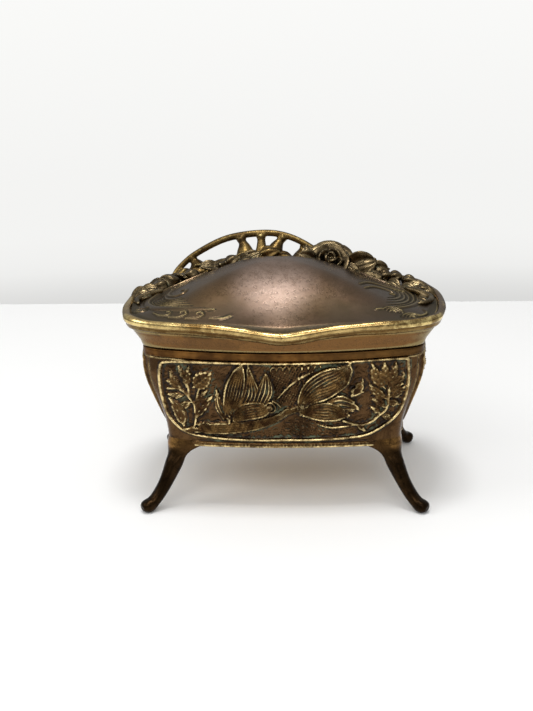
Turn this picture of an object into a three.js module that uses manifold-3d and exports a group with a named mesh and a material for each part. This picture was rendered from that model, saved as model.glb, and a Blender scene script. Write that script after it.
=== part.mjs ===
// Vanity trinket box: a cast-metal casket on four splayed legs, with a domed lid on two pin hinges.
// Millimetres, +Z up. The front faces -Y, and the origin is under the middle of the box, on the surface
// it stands on.
import * as THREE from "three";
import { mergeVertices } from "three/addons/utils/BufferGeometryUtils.js";
import Module from "manifold-3d";

const wasm = await Module();
wasm.setup();

// Driving dimensions.
const GAP = 0.3; // clearance between pieces that touch

// Body: four walls that draw in downwards, under a straight band round the mouth.
const WALL_LOW = 29;
const WALL_HIGH = 69.6;
const MOUTH_LOW = WALL_HIGH + GAP;
const MOUTH_HIGH = 73.6;
const MOUTH_PROUD = 0.5; // how far the mouth band stands out over the walls
const BODY_HALF_X = 62; // at the mouth
const BODY_HALF_Y = 40.8;
const TAPER_X = 9.5; // how far the walls draw in by their foot
const TAPER_Y = 3;
const TAPER_LOW = 31; // heights between which they draw in
const TAPER_HIGH = 65;
const WALL = 2.4;

// Lid: a skirt that flares from the mouth to a rounded rim, and a dome inside the rim.
const LID_LOW = MOUTH_HIGH + GAP;
const LID_HALF_X = 69.3;
const LID_HALF_Y = 43.6;
const LID_WALL = 2.2;
const RIM_Z = 85.6;
const RIM_RADIUS = 2.2;
const RIM_DROOP = 4.2; // how far the rim dips at the middle of the front
const DROOP_WIDTH = 19;
const SKIRT_DROOP = 0.85; // share of that dip that the skirt below the rim follows
const SHOULDER_Z = 87;
const DOME_RISE = 18;
const DOME_POWER = 2.2; // how quickly the dome falls away to the shoulder
const PEAK_X = -3;
const PEAK_Y = 2;

// Legs.
const LEG_X = 46; // middle of a leg's top
const LEG_Y = 31;
const LEG_TURN = THREE.MathUtils.degToRad(35); // the way a leg splays, from X
const LEG_SIDES = 10;
const REAR_SPLAY = 0.86; // the rear legs reach out by this share of the front legs' reach

// Hinges.
const HINGE_X = 30; // middle of each hinge, either side of the centre
const HINGE_Y = 42.9;
const HINGE_Z = MOUTH_HIGH + GAP / 2;
const KNUCKLE_RADIUS = 2.1;
const PIN_RADIUS = 0.8;
const PIN_CLEARANCE = 0.06;
const LEAF_HALF = 7;
const MIDDLE_HALF = 2.6;
const BODY_LEAF_LOW = 61;
const LID_LEAF_LOW = 76.6;
const LID_LEAF_HIGH = 81.6;

// Lining.
const BASE_LOW = 30.2;
const BASE_HIGH = 31.6;
const CARD_HIGH = 33;
const CUSHION_HIGH = 39.4;
const LINING = 2;
const LINING_HIGH = 70.6;
const GIMP_RADIUS = 0.8;
const LID_CARD_LOW = 78.2;
const LID_CARD_INSET = 4.6;

const FAR = 120; // beyond the whole box: the reach of cutting shapes

// Outlines in plan. The corners are drawn in from the middles of the sides by these shares of the half sizes,
// and "round" is the share of each side that turns the corner.
const MOUTH_PLAN = { front: 0.03, rear: 0.04, bowFront: 0.23, bowRear: 0.12, round: 0.07 };
const FOOT_PLAN = { front: 0.03, rear: 0.04, bowFront: 0.11, bowRear: 0.08, round: 0.07 };
const LID_PLAN = { front: 0.08, rear: 0.19, bowFront: 0.15, bowRear: 0.16, round: 0.14 };
const SIDE_STEPS = 6;
const CORNER_STEPS = 3;

const mix = THREE.MathUtils.lerp;
const vector = (x, y, z) => new THREE.Vector3(x, y, z);

function mixPlan(a, b, share) {
  return Object.fromEntries(Object.keys(a).map((key) => [key, mix(a[key], b[key], share)]));
}

// Four bowed sides that meet in rounded corners, counter-clockwise from the front left corner.
function outline(halfX, halfY, z, plan) {
  const frontX = halfX * (1 - plan.front);
  const rearX = halfX * (1 - plan.rear);
  const frontY = -halfY * (1 - plan.bowFront);
  const rearY = halfY * (1 - plan.bowRear);
  const bulgeX = 2 * halfX - (frontX + rearX) / 2;
  const middleY = (frontY + rearY) / 2;
  const toPoints = (pairs) => pairs.map(([x, y]) => new THREE.Vector2(x, y));
  const corners = toPoints([[-frontX, frontY], [frontX, frontY], [rearX, rearY], [-rearX, rearY]]);
  const bulges = toPoints([
    [0, -2 * halfY - frontY], [bulgeX, middleY], [0, 2 * halfY - rearY], [-bulgeX, middleY],
  ]);
  const sides = corners.map((corner, i) =>
    new THREE.QuadraticBezierCurve(corner, bulges[i], corners[(i + 1) % 4]));
  const points = [];
  sides.forEach((side, i) => {
    const next = sides[(i + 1) % 4];
    const turn = new THREE.QuadraticBezierCurve(
      side.getPoint(1 - plan.round), corners[(i + 1) % 4], next.getPoint(plan.round));
    for (let k = 0; k < SIDE_STEPS; k++) {
      points.push(side.getPoint(mix(plan.round, 1 - plan.round, k / SIDE_STEPS)));
    }
    for (let k = 0; k < CORNER_STEPS; k++) points.push(turn.getPoint(k / CORNER_STEPS));
  });
  return points.map((p) => vector(p.x, p.y, z));
}

// A closed solid through rings of equal length, from the lowest to the highest, with a flat cap at each end.
// A closed loop of rings, such as a bead, has no caps.
function loft(rings, closed = false) {
  const count = rings[0].length;
  const positions = [];
  const triangle = (...corners) => corners.forEach((p) => positions.push(p.x, p.y, p.z));
  const cap = (ring, facesUp) => {
    const centre = ring.reduce((sum, p) => sum.add(p), vector(0, 0, 0)).divideScalar(count);
    ring.forEach((p, i) => {
      const next = ring[(i + 1) % count];
      if (facesUp) triangle(centre, p, next);
      else triangle(centre, next, p);
    });
  };
  const bands = closed ? rings.length : rings.length - 1;
  for (let r = 0; r < bands; r++) {
    const low = rings[r];
    const high = rings[(r + 1) % rings.length];
    for (let i = 0; i < count; i++) {
      const next = (i + 1) % count;
      triangle(low[i], low[next], high[next]);
      triangle(low[i], high[next], high[i]);
    }
  }
  if (!closed) {
    cap(rings[0], false);
    cap(rings[rings.length - 1], true);
  }
  const geometry = new THREE.BufferGeometry();
  geometry.setAttribute("position", new THREE.Float32BufferAttribute(positions, 3));
  return geometry;
}

function solidOf(geometry) {
  const bare = geometry.clone();
  bare.deleteAttribute("normal");
  bare.deleteAttribute("uv");
  const merged = mergeVertices(bare, 1e-3);
  return new wasm.Manifold(new wasm.Mesh({
    numProp: 3,
    vertProperties: merged.attributes.position.array,
    triVerts: new Uint32Array(merged.index.array),
  }));
}

function geometryOf(solid) {
  const mesh = solid.getMesh();
  const positions = new Float32Array(mesh.numVert * 3);
  for (let i = 0; i < mesh.numVert; i++) {
    positions.set(mesh.vertProperties.subarray(i * mesh.numProp, i * mesh.numProp + 3), i * 3);
  }
  const geometry = new THREE.BufferGeometry();
  geometry.setAttribute("position", new THREE.BufferAttribute(positions, 3));
  geometry.setIndex(new THREE.BufferAttribute(mesh.triVerts, 1));
  return geometry.toNonIndexed();
}

// Cuts can leave slivers: a piece is the largest solid of what is left.
function mainPiece(solid) {
  return solid.decompose().reduce((best, part) => (part.volume() > best.volume() ? part : best));
}

function boxBetween(low, high) {
  const size = high.map((value, i) => value - low[i]);
  return solidOf(new THREE.BoxGeometry(...size).translate(...low.map((value, i) => value + size[i] / 2)));
}

function rodAlongX(radius, fromX, toX, sides = 16) {
  return solidOf(new THREE.CylinderGeometry(radius, radius, toX - fromX, sides)
    .rotateZ(Math.PI / 2).translate((fromX + toX) / 2, HINGE_Y, HINGE_Z));
}

// A round bead that follows a closed path which runs counter-clockwise in plan.
function beadAlong(path, radius, sides, lift = () => 0) {
  const rings = path.map((p, i) => {
    const before = path[(i + path.length - 1) % path.length];
    const after = path[(i + 1) % path.length];
    const out = vector(after.y - before.y, before.x - after.x, 0).normalize();
    return Array.from({ length: sides }, (_, k) => {
      const angle = (k / sides) * Math.PI * 2;
      const up = Math.sin(angle) * radius + lift(p);
      return p.clone().addScaledVector(out, Math.cos(angle) * radius).add(vector(0, 0, up));
    });
  });
  return solidOf(loft(rings.reverse(), true));
}

// A round bar through a list of places.
function barAlong(places, radius, steps, sides = 8) {
  const section = new THREE.Shape(Array.from({ length: sides }, (_, k) => {
    const angle = (k / sides) * Math.PI * 2;
    return new THREE.Vector2(Math.cos(angle) * radius, Math.sin(angle) * radius);
  }));
  const extrudePath = new THREE.CatmullRomCurve3(places.map((p) => vector(...p)));
  return solidOf(new THREE.ExtrudeGeometry(section, { extrudePath, steps, bevelEnabled: false }));
}

// Body.

// How far the walls have drawn in at a height: none at the mouth, all of it at the foot, in an ogee.
function drawnIn(z) {
  return THREE.MathUtils.smoothstep(TAPER_HIGH + TAPER_LOW - z, TAPER_LOW, TAPER_HIGH);
}

function bodyRing(z, grow = 0) {
  const share = drawnIn(z);
  return outline(
    BODY_HALF_X - TAPER_X * share + grow, BODY_HALF_Y - TAPER_Y * share + grow, z,
    mixPlan(MOUTH_PLAN, FOOT_PLAN, share));
}

function bodySolid(grow, low, high, steps = 6) {
  const rings = Array.from({ length: steps + 1 }, (_, i) => bodyRing(mix(low, high, i / steps), grow));
  return solidOf(loft(rings));
}

// The part of the space that belongs to one side: 0 front, 1 right, 2 rear, 3 left, divided at the corners
// with a mitre gap.
const CORNER_SLOPE = (BODY_HALF_Y * 0.82) / (BODY_HALF_X * 0.96); // y over x at a typical corner
const MITRE_GAP = GAP * 0.75;

function sideWedge(side) {
  const across = side % 2 ? FAR * CORNER_SLOPE : FAR;
  const away = side % 2 ? FAR : FAR * CORNER_SLOPE;
  const corners = [[0, 0], [-across, -away], [across, -away]]
    .map(([x, y]) => new THREE.Vector2(x, y - MITRE_GAP));
  return solidOf(new THREE.ExtrudeGeometry(new THREE.Shape(corners), { depth: FAR, bevelEnabled: false })
    .rotateZ((side * Math.PI) / 2));
}

function makeWallRing() {
  return bodySolid(0, WALL_LOW, WALL_HIGH).subtract(bodySolid(-WALL, WALL_LOW - 1, WALL_HIGH + 1));
}

function makeMouthBand() {
  return bodySolid(MOUTH_PROUD, MOUTH_LOW, MOUTH_HIGH, 1)
    .subtract(bodySolid(-WALL, MOUTH_LOW - 1, MOUTH_HIGH + 1, 1));
}

// A cabriole leg in its own plane, "out" being the way it splays: how far out its middle is at each height,
// its thickness outwards and across, and how far its section leans over from level.
const LEG_STATIONS = [
  { out: 20.2, z: 2.9, thick: 2.6, wide: 3, lean: 1.5 },
  { out: 18.4, z: 2.4, thick: 5.6, wide: 6, lean: 1.45 },
  { out: 15.2, z: 2.9, thick: 6.4, wide: 7, lean: 1.15 },
  { out: 12, z: 5.8, thick: 6.6, wide: 7.2, lean: 0.8 },
  { out: 8.2, z: 11.4, thick: 7, wide: 7.6, lean: 0.5 },
  { out: 4.8, z: 17.6, thick: 7.6, wide: 8, lean: 0.35 },
  { out: 2, z: 24, thick: 9.4, wide: 9, lean: 0.2 },
  { out: 0.6, z: 27.4, thick: 12.4, wide: 11.6, lean: 0.05 },
  { out: 0, z: WALL_LOW - GAP, thick: 14.6, wide: 13.6, lean: 0 },
];

function makeLeg(splay) {
  const rings = LEG_STATIONS.map(({ out, z, thick, wide, lean }) =>
    Array.from({ length: LEG_SIDES }, (_, i) => {
      const angle = (i / LEG_SIDES) * Math.PI * 2;
      const along = (Math.cos(angle) * thick) / 2;
      const reach = out * splay + along * Math.cos(lean);
      return vector(reach, (Math.sin(angle) * wide) / 2, z + along * Math.sin(lean));
    }));
  return solidOf(loft(rings)).subtract(boxBetween([-FAR, -FAR, -FAR], [FAR, FAR, 0]));
}

// Lid.

// The rim dips at the middle of the front.
function frontDroop(x, y) {
  return y < 0 ? RIM_DROOP * Math.exp(-((x / DROOP_WIDTH) ** 2)) : 0;
}

const SKIRT = [
  { z: LID_LOW, flare: 0 },
  { z: 76.6, flare: 0.22 },
  { z: 80, flare: 0.66 },
  { z: 83, flare: 0.96 },
  { z: 85, flare: 1 },
];
const DOME_SHARES = [0.96, 0.84, 0.7, 0.55, 0.4, 0.25, 0.1];

function lidSolid(grow, low = LID_LOW) {
  const rings = SKIRT.map(({ z, flare }, i) => {
    const halfX = mix(BODY_HALF_X + MOUTH_PROUD, LID_HALF_X, flare) + grow;
    const halfY = mix(BODY_HALF_Y + MOUTH_PROUD, LID_HALF_Y, flare) + grow;
    const ring = outline(halfX, halfY, i ? z : low, mixPlan(MOUTH_PLAN, LID_PLAN, flare));
    return ring.map((p) => vector(p.x, p.y, p.z - frontDroop(p.x, p.y) * flare * SKIRT_DROOP));
  });
  const edge = outline(LID_HALF_X + grow, LID_HALF_Y + grow, SHOULDER_Z + grow, LID_PLAN);
  for (const share of DOME_SHARES) {
    const rise = DOME_RISE * (1 - share * share) ** DOME_POWER;
    rings.push(edge.map((p) => vector(
      mix(PEAK_X, p.x, share), mix(PEAK_Y, p.y, share), p.z + rise - frontDroop(p.x, p.y) * share ** 8)));
  }
  return solidOf(loft(rings));
}

const hingeSides = [["left", -1], ["right", 1]];
const lidGrown = lidSolid(GAP, LID_LOW - GAP);

// Room round each hinge's knuckles.
function knuckleRoom(sign) {
  const half = LEAF_HALF + 3 * GAP;
  return rodAlongX(KNUCKLE_RADIUS + GAP, sign * HINGE_X - half, sign * HINGE_X + half);
}

function makeLidShell() {
  const shell = lidSolid(0).subtract(lidSolid(-LID_WALL, LID_LOW - 1));
  return hingeSides.reduce((solid, [, sign]) => solid.subtract(knuckleRoom(sign)), shell);
}

function rimBead(grow = 0) {
  const path = outline(LID_HALF_X, LID_HALF_Y, RIM_Z, LID_PLAN);
  return beadAlong(path, RIM_RADIUS + grow, 7, (p) => -frontDroop(p.x, p.y));
}

// The pierced crest: a hoop along the rear edge, from the left shoulder to behind the rose.
// Struts stand under it.
const HOOP_RADIUS = 1.5;
const HOOP = [
  [-55, 33, 86.5], [-50.5, 35.5, 92], [-43, 37, 98], [-28.5, 38, 105], [-12, 38, 107.5], [-1, 37.5, 106.5],
  [9, 36, 102.5], [19, 33, 96], [24, 31, 90],
];
const STRUTS = [
  { foot: -45, head: -43, radius: 2.2 },
  { foot: -18, head: -22, radius: 1.9 },
  { foot: -12, head: -12, radius: 1.9 },
  { foot: -6, head: -2, radius: 1.9 },
  { foot: 5, head: 9, radius: 1.9 },
];
const STRUT_FOOT_Y = 32;
const STRUT_FOOT_Z = 86;

function crest(grow = 0) {
  const hoopCurve = new THREE.CatmullRomCurve3(HOOP.map((p) => vector(...p)));
  const hoopPlaces = hoopCurve.getPoints(60);
  const hoop = barAlong(HOOP, HOOP_RADIUS + grow, 20, 7);
  return STRUTS.reduce((solid, { foot, head, radius }) => {
    const top = hoopPlaces.reduce((best, p) => (Math.abs(p.x - head) < Math.abs(best.x - head) ? p : best));
    const middle = [mix(foot, head, 0.3), 35, mix(STRUT_FOOT_Z, top.z, 0.55)];
    const places = [[foot, STRUT_FOOT_Y, STRUT_FOOT_Z], middle, top.toArray()];
    return solid.add(barAlong(places, radius + grow, 4, 6));
  }, hoop);
}

// Flowers and leaves on the lid: each piece is a cluster of rounded lobes bedded on the lid.
const CLUSTERS = [
  ["lid_rose", [
    { at: [20.5, 19, 99], size: [7.6, 7, 7.4] },
    { at: [11.5, 19, 98.5], size: [5, 5.4, 5.4] },
  ]],
  ["lid_folded_leaf", [
    { at: [34.5, 17, 95.5], size: [6.8, 6, 5.6] },
    { at: [41.5, 16, 93.5], size: [5.4, 5.6, 5] },
  ]],
  ["lid_garland_right", [
    { at: [50, 17, 91], size: [4.6, 6, 4.6] },
    { at: [56, 15, 89], size: [4.4, 6, 4] },
    { at: [61.5, 9, 88], size: [4, 6, 3.6] },
    { at: [65.4, 1.5, 87.4], size: [3.6, 6, 3.2] },
  ]],
  ["lid_garland_left", [
    { at: [-45, 21, 91.5], size: [5.6, 6, 4.6] },
    { at: [-52.5, 20, 90.5], size: [5, 6, 5] },
    { at: [-59.5, 18, 89.5], size: [5, 6, 4.8] },
    { at: [-64.8, 10, 88], size: [4.6, 6.6, 4] },
    { at: [-67.8, 1, 87], size: [3.6, 6, 3.4] },
  ]],
  ["lid_bud_left", [
    { at: [-31, 21, 97], size: [6, 5, 4.4] },
    { at: [-24.5, 21.5, 98.5], size: [5, 4.6, 4.2] },
  ]],
];

function cluster(lobes, grow = 0) {
  return lobes
    .map(({ at, size }) => solidOf(new THREE.SphereGeometry(1, 10, 6)
      .scale(...size.map((radius) => radius + grow)).translate(...at)))
    .reduce((sum, lobe) => sum.add(lobe));
}

// Hinges: the body leaf is soldered to the rear wall and the mouth band and holds the outer knuckles, and the
// lid leaf is soldered to the skirt and holds the middle one. A heel on the lid leaf meets the body leaf to
// stop the lid.
const STRAP_FACE = 1.5; // from the pin's axis in to the face of the body leaf's strap
const LID_STRAP = 1.4; // thickness of the lid leaf's strap
const HEEL_HALF = 1;
const HEEL_LENGTH = 2.7;
const WEB_HIGH = 77.4; // top of the web that joins the middle knuckle to the lid strap
const LEAF_REACH = 9; // how far a strap runs in towards the box before it is cut to the wall's shape
const STOP_ANGLE = THREE.MathUtils.degToRad(105);

function bored(solid, sign) {
  const radius = PIN_RADIUS + PIN_CLEARANCE;
  const half = LEAF_HALF + 5;
  return solid.subtract(rodAlongX(radius, sign * HINGE_X - half, sign * HINGE_X + half));
}

function makeBodyLeaf(sign) {
  const middle = sign * HINGE_X;
  const strap = boxBetween(
    [middle - LEAF_HALF, HINGE_Y - LEAF_REACH, BODY_LEAF_LOW],
    [middle + LEAF_HALF, HINGE_Y - STRAP_FACE, HINGE_Z]);
  const knuckles = rodAlongX(KNUCKLE_RADIUS, middle - LEAF_HALF, middle + LEAF_HALF);
  const room = boxBetween(
    [middle - MIDDLE_HALF - GAP, HINGE_Y - KNUCKLE_RADIUS - GAP, HINGE_Z - KNUCKLE_RADIUS - GAP],
    [middle + MIDDLE_HALF + GAP, HINGE_Y + LEAF_REACH, HINGE_Z + LEAF_REACH]);
  const band = bodySolid(MOUTH_PROUD + GAP, MOUTH_LOW - GAP, MOUTH_HIGH + GAP, 1);
  const body = bodySolid(GAP, WALL_LOW, MOUTH_LOW).add(band);
  return mainPiece(bored(strap.add(knuckles).subtract(room), sign).subtract(body));
}

function makeLidLeaf(sign) {
  const middle = sign * HINGE_X;
  const web = boxBetween(
    [middle - MIDDLE_HALF, HINGE_Y - 2 * STRAP_FACE, HINGE_Z],
    [middle + MIDDLE_HALF, HINGE_Y + KNUCKLE_RADIUS - PIN_RADIUS / 2, WEB_HIGH]);
  const strap = boxBetween(
    [middle - LEAF_HALF, HINGE_Y - LEAF_REACH, LID_LEAF_LOW],
    [middle + LEAF_HALF, HINGE_Y + LEAF_REACH, LID_LEAF_HIGH])
    .intersect(lidSolid(GAP + LID_STRAP));
  const knuckle = rodAlongX(KNUCKLE_RADIUS, middle - MIDDLE_HALF, middle + MIDDLE_HALF);
  const heel = solidOf(new THREE.BoxGeometry(2 * MIDDLE_HALF, HEEL_LENGTH, 2 * HEEL_HALF)
    .translate(0, HEEL_LENGTH / 2, 0).rotateX(STOP_ANGLE - Math.PI / 2).translate(middle, HINGE_Y, HINGE_Z));
  return mainPiece(bored(web.add(strap).subtract(lidGrown).add(knuckle).add(heel), sign));
}

function makePin(sign) {
  const from = sign * HINGE_X - LEAF_HALF - 0.5;
  const to = sign * HINGE_X + LEAF_HALF + 0.5;
  return rodAlongX(PIN_RADIUS, from, to);
}

// Lining.
function floorPlate(inset, low, high) {
  return bodySolid(-inset, low, high, 1);
}

const CUSHION_LEVELS = [
  { up: 0, inset: 1.2 }, { up: 0.25, inset: 0 }, { up: 0.55, inset: 0 }, { up: 0.8, inset: 2 },
  { up: 0.94, inset: 7 }, { up: 1, inset: 16 },
];

function makeCushion() {
  const low = CARD_HIGH + GAP;
  return solidOf(loft(CUSHION_LEVELS.map(({ up, inset }) => {
    const ring = bodyRing(low, -WALL - GAP - inset);
    return ring.map((p) => vector(p.x, p.y, mix(low, CUSHION_HIGH, up)));
  })));
}

function makeLiningRing() {
  const low = CUSHION_HIGH + GAP;
  return bodySolid(-WALL - GAP, low, LINING_HIGH, 4)
    .subtract(bodySolid(-WALL - GAP - LINING, low - 1, LINING_HIGH + 1, 4));
}

function makeGimp() {
  const inset = WALL + GAP + GIMP_RADIUS;
  const z = LINING_HIGH + GAP + GIMP_RADIUS;
  return beadAlong(outline(BODY_HALF_X - inset, BODY_HALF_Y - inset, z, MOUTH_PLAN), GIMP_RADIUS, 6);
}

// A flat or crowned pad under the lid, through rings that are each set in from the shell's inner face.
function lidPad(levels) {
  return solidOf(loft(levels.map(({ z, inset }) =>
    outline(BODY_HALF_X - inset, BODY_HALF_Y - inset, z, MOUTH_PLAN))));
}

// Finishes.
const finish = (color, roughness, metalness) =>
  new THREE.MeshStandardMaterial({ color, roughness, metalness });
const brownBronze = finish(0x5a4338, 0.42, 0.9);
const darkBronze = finish(0x3c281c, 0.45, 0.9);
const chasedBronze = finish(0x6b5430, 0.45, 0.9);
const redBronze = finish(0x7d4a30, 0.4, 0.95);
const giltBrass = finish(0xb8973f, 0.35, 1);
const sheetBrass = finish(0x7c6334, 0.5, 1);
const steel = finish(0x77736c, 0.4, 1);
const card = finish(0xb9a98a, 0.9, 0);
const silk = finish(0x9b6f6a, 0.6, 0);

const box = new THREE.Group();

function add(name, solid, material) {
  const mesh = new THREE.Mesh(geometryOf(solid), material);
  mesh.name = name;
  box.add(mesh);
  return mesh;
}

const sideNames = ["front", "right", "rear", "left"];
const wallRing = makeWallRing();
const liningRing = makeLiningRing();
sideNames.forEach((side, i) => add(`wall_${side}`, wallRing.intersect(sideWedge(i)), chasedBronze));
add("mouth_band", makeMouthBand(), redBronze);

for (const [end, signY, splay] of [["front", -1, 1], ["rear", 1, REAR_SPLAY]]) {
  const leg = makeLeg(splay);
  for (const [side, signX] of hingeSides) {
    const mesh = add(`leg_${end}_${side}`, leg, darkBronze);
    mesh.rotation.z = Math.atan2(signY * Math.sin(LEG_TURN), signX * Math.cos(LEG_TURN));
    mesh.position.set(signX * LEG_X, signY * LEG_Y, 0);
  }
}

add("base_plate", floorPlate(WALL + GAP, BASE_LOW, BASE_HIGH), sheetBrass);
add("floor_card", floorPlate(WALL + 2 * GAP, BASE_HIGH + GAP, CARD_HIGH), card);
add("floor_cushion", makeCushion(), silk);
sideNames.forEach((side, i) => add(`lining_${side}`, liningRing.intersect(sideWedge(i)), silk));
add("lining_gimp", makeGimp(), silk);

for (const [side, sign] of hingeSides) {
  add(`hinge_${side}_body_leaf`, makeBodyLeaf(sign), sheetBrass);
  add(`hinge_${side}_lid_leaf`, makeLidLeaf(sign), sheetBrass);
  add(`hinge_${side}_pin`, makePin(sign), steel);
}

add("lid_shell", makeLidShell(), brownBronze);
add("lid_rim_bead", mainPiece(rimBead().subtract(lidGrown)), giltBrass);
let taken = lidGrown.add(rimBead(GAP));
add("lid_crest", mainPiece(crest().subtract(taken)), giltBrass);
taken = taken.add(crest(GAP));
for (const [name, lobes] of CLUSTERS) {
  add(name, mainPiece(cluster(lobes).subtract(taken)), chasedBronze);
  taken = taken.add(cluster(lobes, GAP));
}
add("lid_lining_card", lidPad([
  { z: LID_CARD_LOW, inset: LID_CARD_INSET }, { z: LID_CARD_LOW + 1, inset: LID_CARD_INSET },
]), card);
add("lid_lining_pad", lidPad([
  { z: 74.2, inset: 18 }, { z: 74.6, inset: 10 }, { z: 75.6, inset: 5 }, { z: 77, inset: 3.8 },
  { z: LID_CARD_LOW - GAP, inset: LID_CARD_INSET },
]), silk);

export default box;
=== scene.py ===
import math
import bpy
import numpy as np
from mathutils import Matrix, Vector


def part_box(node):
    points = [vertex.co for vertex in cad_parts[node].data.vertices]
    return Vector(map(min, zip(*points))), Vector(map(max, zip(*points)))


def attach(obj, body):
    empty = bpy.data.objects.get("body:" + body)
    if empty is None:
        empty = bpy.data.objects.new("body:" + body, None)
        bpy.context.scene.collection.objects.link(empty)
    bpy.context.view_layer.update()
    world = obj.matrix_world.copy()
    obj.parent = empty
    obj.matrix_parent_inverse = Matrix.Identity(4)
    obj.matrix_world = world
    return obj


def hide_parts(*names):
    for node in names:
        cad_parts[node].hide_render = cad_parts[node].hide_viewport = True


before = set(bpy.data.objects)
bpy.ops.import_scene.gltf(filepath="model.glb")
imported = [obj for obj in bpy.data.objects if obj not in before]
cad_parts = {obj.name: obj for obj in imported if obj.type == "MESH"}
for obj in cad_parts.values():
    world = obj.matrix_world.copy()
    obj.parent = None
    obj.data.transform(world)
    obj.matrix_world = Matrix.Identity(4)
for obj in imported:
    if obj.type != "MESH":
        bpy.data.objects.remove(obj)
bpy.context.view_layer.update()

# Shapes are worked out in millimetres and written to the meshes in metres.
MM = 0.001
TURN = 2 * math.pi


def mm_box(node):
    low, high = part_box(node)
    return np.array(low) / MM, np.array(high) / MM


# ---- The box in plan: four bowed sides that meet in rounded corners ----

MOUTH_PLAN = dict(front=0.03, rear=0.04, bow_front=0.23, bow_rear=0.12, round=0.07)
FOOT_PLAN = dict(front=0.03, rear=0.04, bow_front=0.11, bow_rear=0.08, round=0.07)
LID_PLAN = dict(front=0.08, rear=0.19, bow_front=0.15, bow_rear=0.16, round=0.14)
TAPER_X, TAPER_Y = 9.5, 3.0
TAPER_LOW, TAPER_HIGH = 31.0, 65.0
WALL = 2.4
LINING = 2.0
GAP = 0.3

body_half_x = mm_box("wall_right")[1][0]
body_half_y = mm_box("wall_rear")[1][1]
wall_low, wall_high = mm_box("wall_front")[0][2], mm_box("wall_front")[1][2]
mouth_low, mouth_high = mm_box("mouth_band")[0][2], mm_box("mouth_band")[1][2]
lid_low = mm_box("lid_shell")[0][2]
lid_half_y = mm_box("lid_shell")[1][1]
LID_HALF_X = 69.3
RIM_Z = 85.6
SHOULDER_Z = 87.0
RIM_DROOP, DROOP_WIDTH = 4.2, 19.0
PEAK_X, PEAK_Y = -3.0, 2.0
DOME_RISE, DOME_POWER = 18.0, 2.2


def smoothstep(value, low, high):
    share = np.clip((value - low) / (high - low), 0, 1)
    return share * share * (3 - 2 * share)


def bell(value, width):
    return np.exp(-((value / width) ** 2))


def mix(a, b, share):
    return a + (b - a) * share


def bezier(a, b, c, t):
    return a * (1 - t) ** 2 + b * 2 * t * (1 - t) + c * t * t


PLAN_STEPS = 80


def plan_curve(half_x, half_y, plan):
    """Closed outline in plan, counter-clockwise from the front left corner."""
    front_x, rear_x = half_x * (1 - plan["front"]), half_x * (1 - plan["rear"])
    front_y, rear_y = -half_y * (1 - plan["bow_front"]), half_y * (1 - plan["bow_rear"])
    bulge_x, middle_y = 2 * half_x - (front_x + rear_x) / 2, (front_y + rear_y) / 2
    corners = np.array([[-front_x, front_y], [front_x, front_y], [rear_x, rear_y], [-rear_x, rear_y]])
    bulges = np.array([[0, -2 * half_y - front_y], [bulge_x, middle_y], [0, 2 * half_y - rear_y],
                       [-bulge_x, middle_y]])
    points = []
    for i in range(4):
        corner, bulge, end = corners[i], bulges[i], corners[(i + 1) % 4]
        after = bulges[(i + 1) % 4], corners[(i + 2) % 4]
        for t in np.linspace(plan["round"], 1 - plan["round"], PLAN_STEPS, endpoint=False):
            points.append(bezier(corner, bulge, end, t))
        leave = bezier(corner, bulge, end, 1 - plan["round"])
        enter = bezier(end, after[0], after[1], plan["round"])
        for t in np.linspace(0, 1, PLAN_STEPS // 4, endpoint=False):
            points.append(bezier(leave, end, enter, t))
    return np.array(points)


def angle_table(points, centre):
    """Radius of a closed outline round a centre, as a function of the angle."""
    offset = points - np.array(centre)
    angles = np.arctan2(offset[:, 1], offset[:, 0])
    order = np.argsort(angles)
    return lambda angle: np.interp(angle, angles[order], np.hypot(*offset[order].T), period=TURN)


def drawn_in(z):
    return smoothstep(TAPER_HIGH + TAPER_LOW - z, TAPER_LOW, TAPER_HIGH)


# The outline of the body at the mouth and at the foot. A height between them is a mix of the two, as radius
# round the middle of the box.
body_mouth_radius = angle_table(plan_curve(body_half_x, body_half_y, MOUTH_PLAN), (0, 0))
body_foot_radius = angle_table(
    plan_curve(body_half_x - TAPER_X, body_half_y - TAPER_Y, FOOT_PLAN), (0, 0))


def body_radius(angle, z):
    return mix(body_mouth_radius(angle), body_foot_radius(angle), drawn_in(z))


def body_point(angle, z, out=0.0):
    """A point on the outside of the walls, moved outwards in plan by out."""
    step = 0.004
    radius = body_radius(angle, z)
    slope = (body_radius(angle + step, z) - body_radius(angle - step, z)) / (2 * step)
    normal_x = radius * np.cos(angle) + slope * np.sin(angle)
    normal_y = radius * np.sin(angle) - slope * np.cos(angle)
    length = np.hypot(normal_x, normal_y)
    return np.stack([radius * np.cos(angle) + out * normal_x / length,
                     radius * np.sin(angle) + out * normal_y / length, z + 0 * angle], axis=-1)


lid_radius = angle_table(plan_curve(LID_HALF_X, lid_half_y, LID_PLAN), (PEAK_X, PEAK_Y))


def front_droop(x, y):
    return np.where(y < 0, RIM_DROOP * np.exp(-np.abs(x / DROOP_WIDTH) ** 1.6), 0.0)


def lid_top(x, y):
    """Height of the lid's upper surface, from the shoulder inside the rim to the top of the dome."""
    dx, dy = x - PEAK_X, y - PEAK_Y
    angle = np.arctan2(dy, dx)
    edge = lid_radius(angle)
    share = np.clip(np.hypot(dx, dy) / edge, 0, 1)
    edge_x, edge_y = PEAK_X + edge * np.cos(angle), PEAK_Y + edge * np.sin(angle)
    rise = DOME_RISE * (1 - share ** 2) ** DOME_POWER
    gutter = 0.6 * bell(share - 0.955, 0.02)
    return SHOULDER_Z - 0.4 + rise - front_droop(edge_x, edge_y) * share ** 8 - gutter


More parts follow.
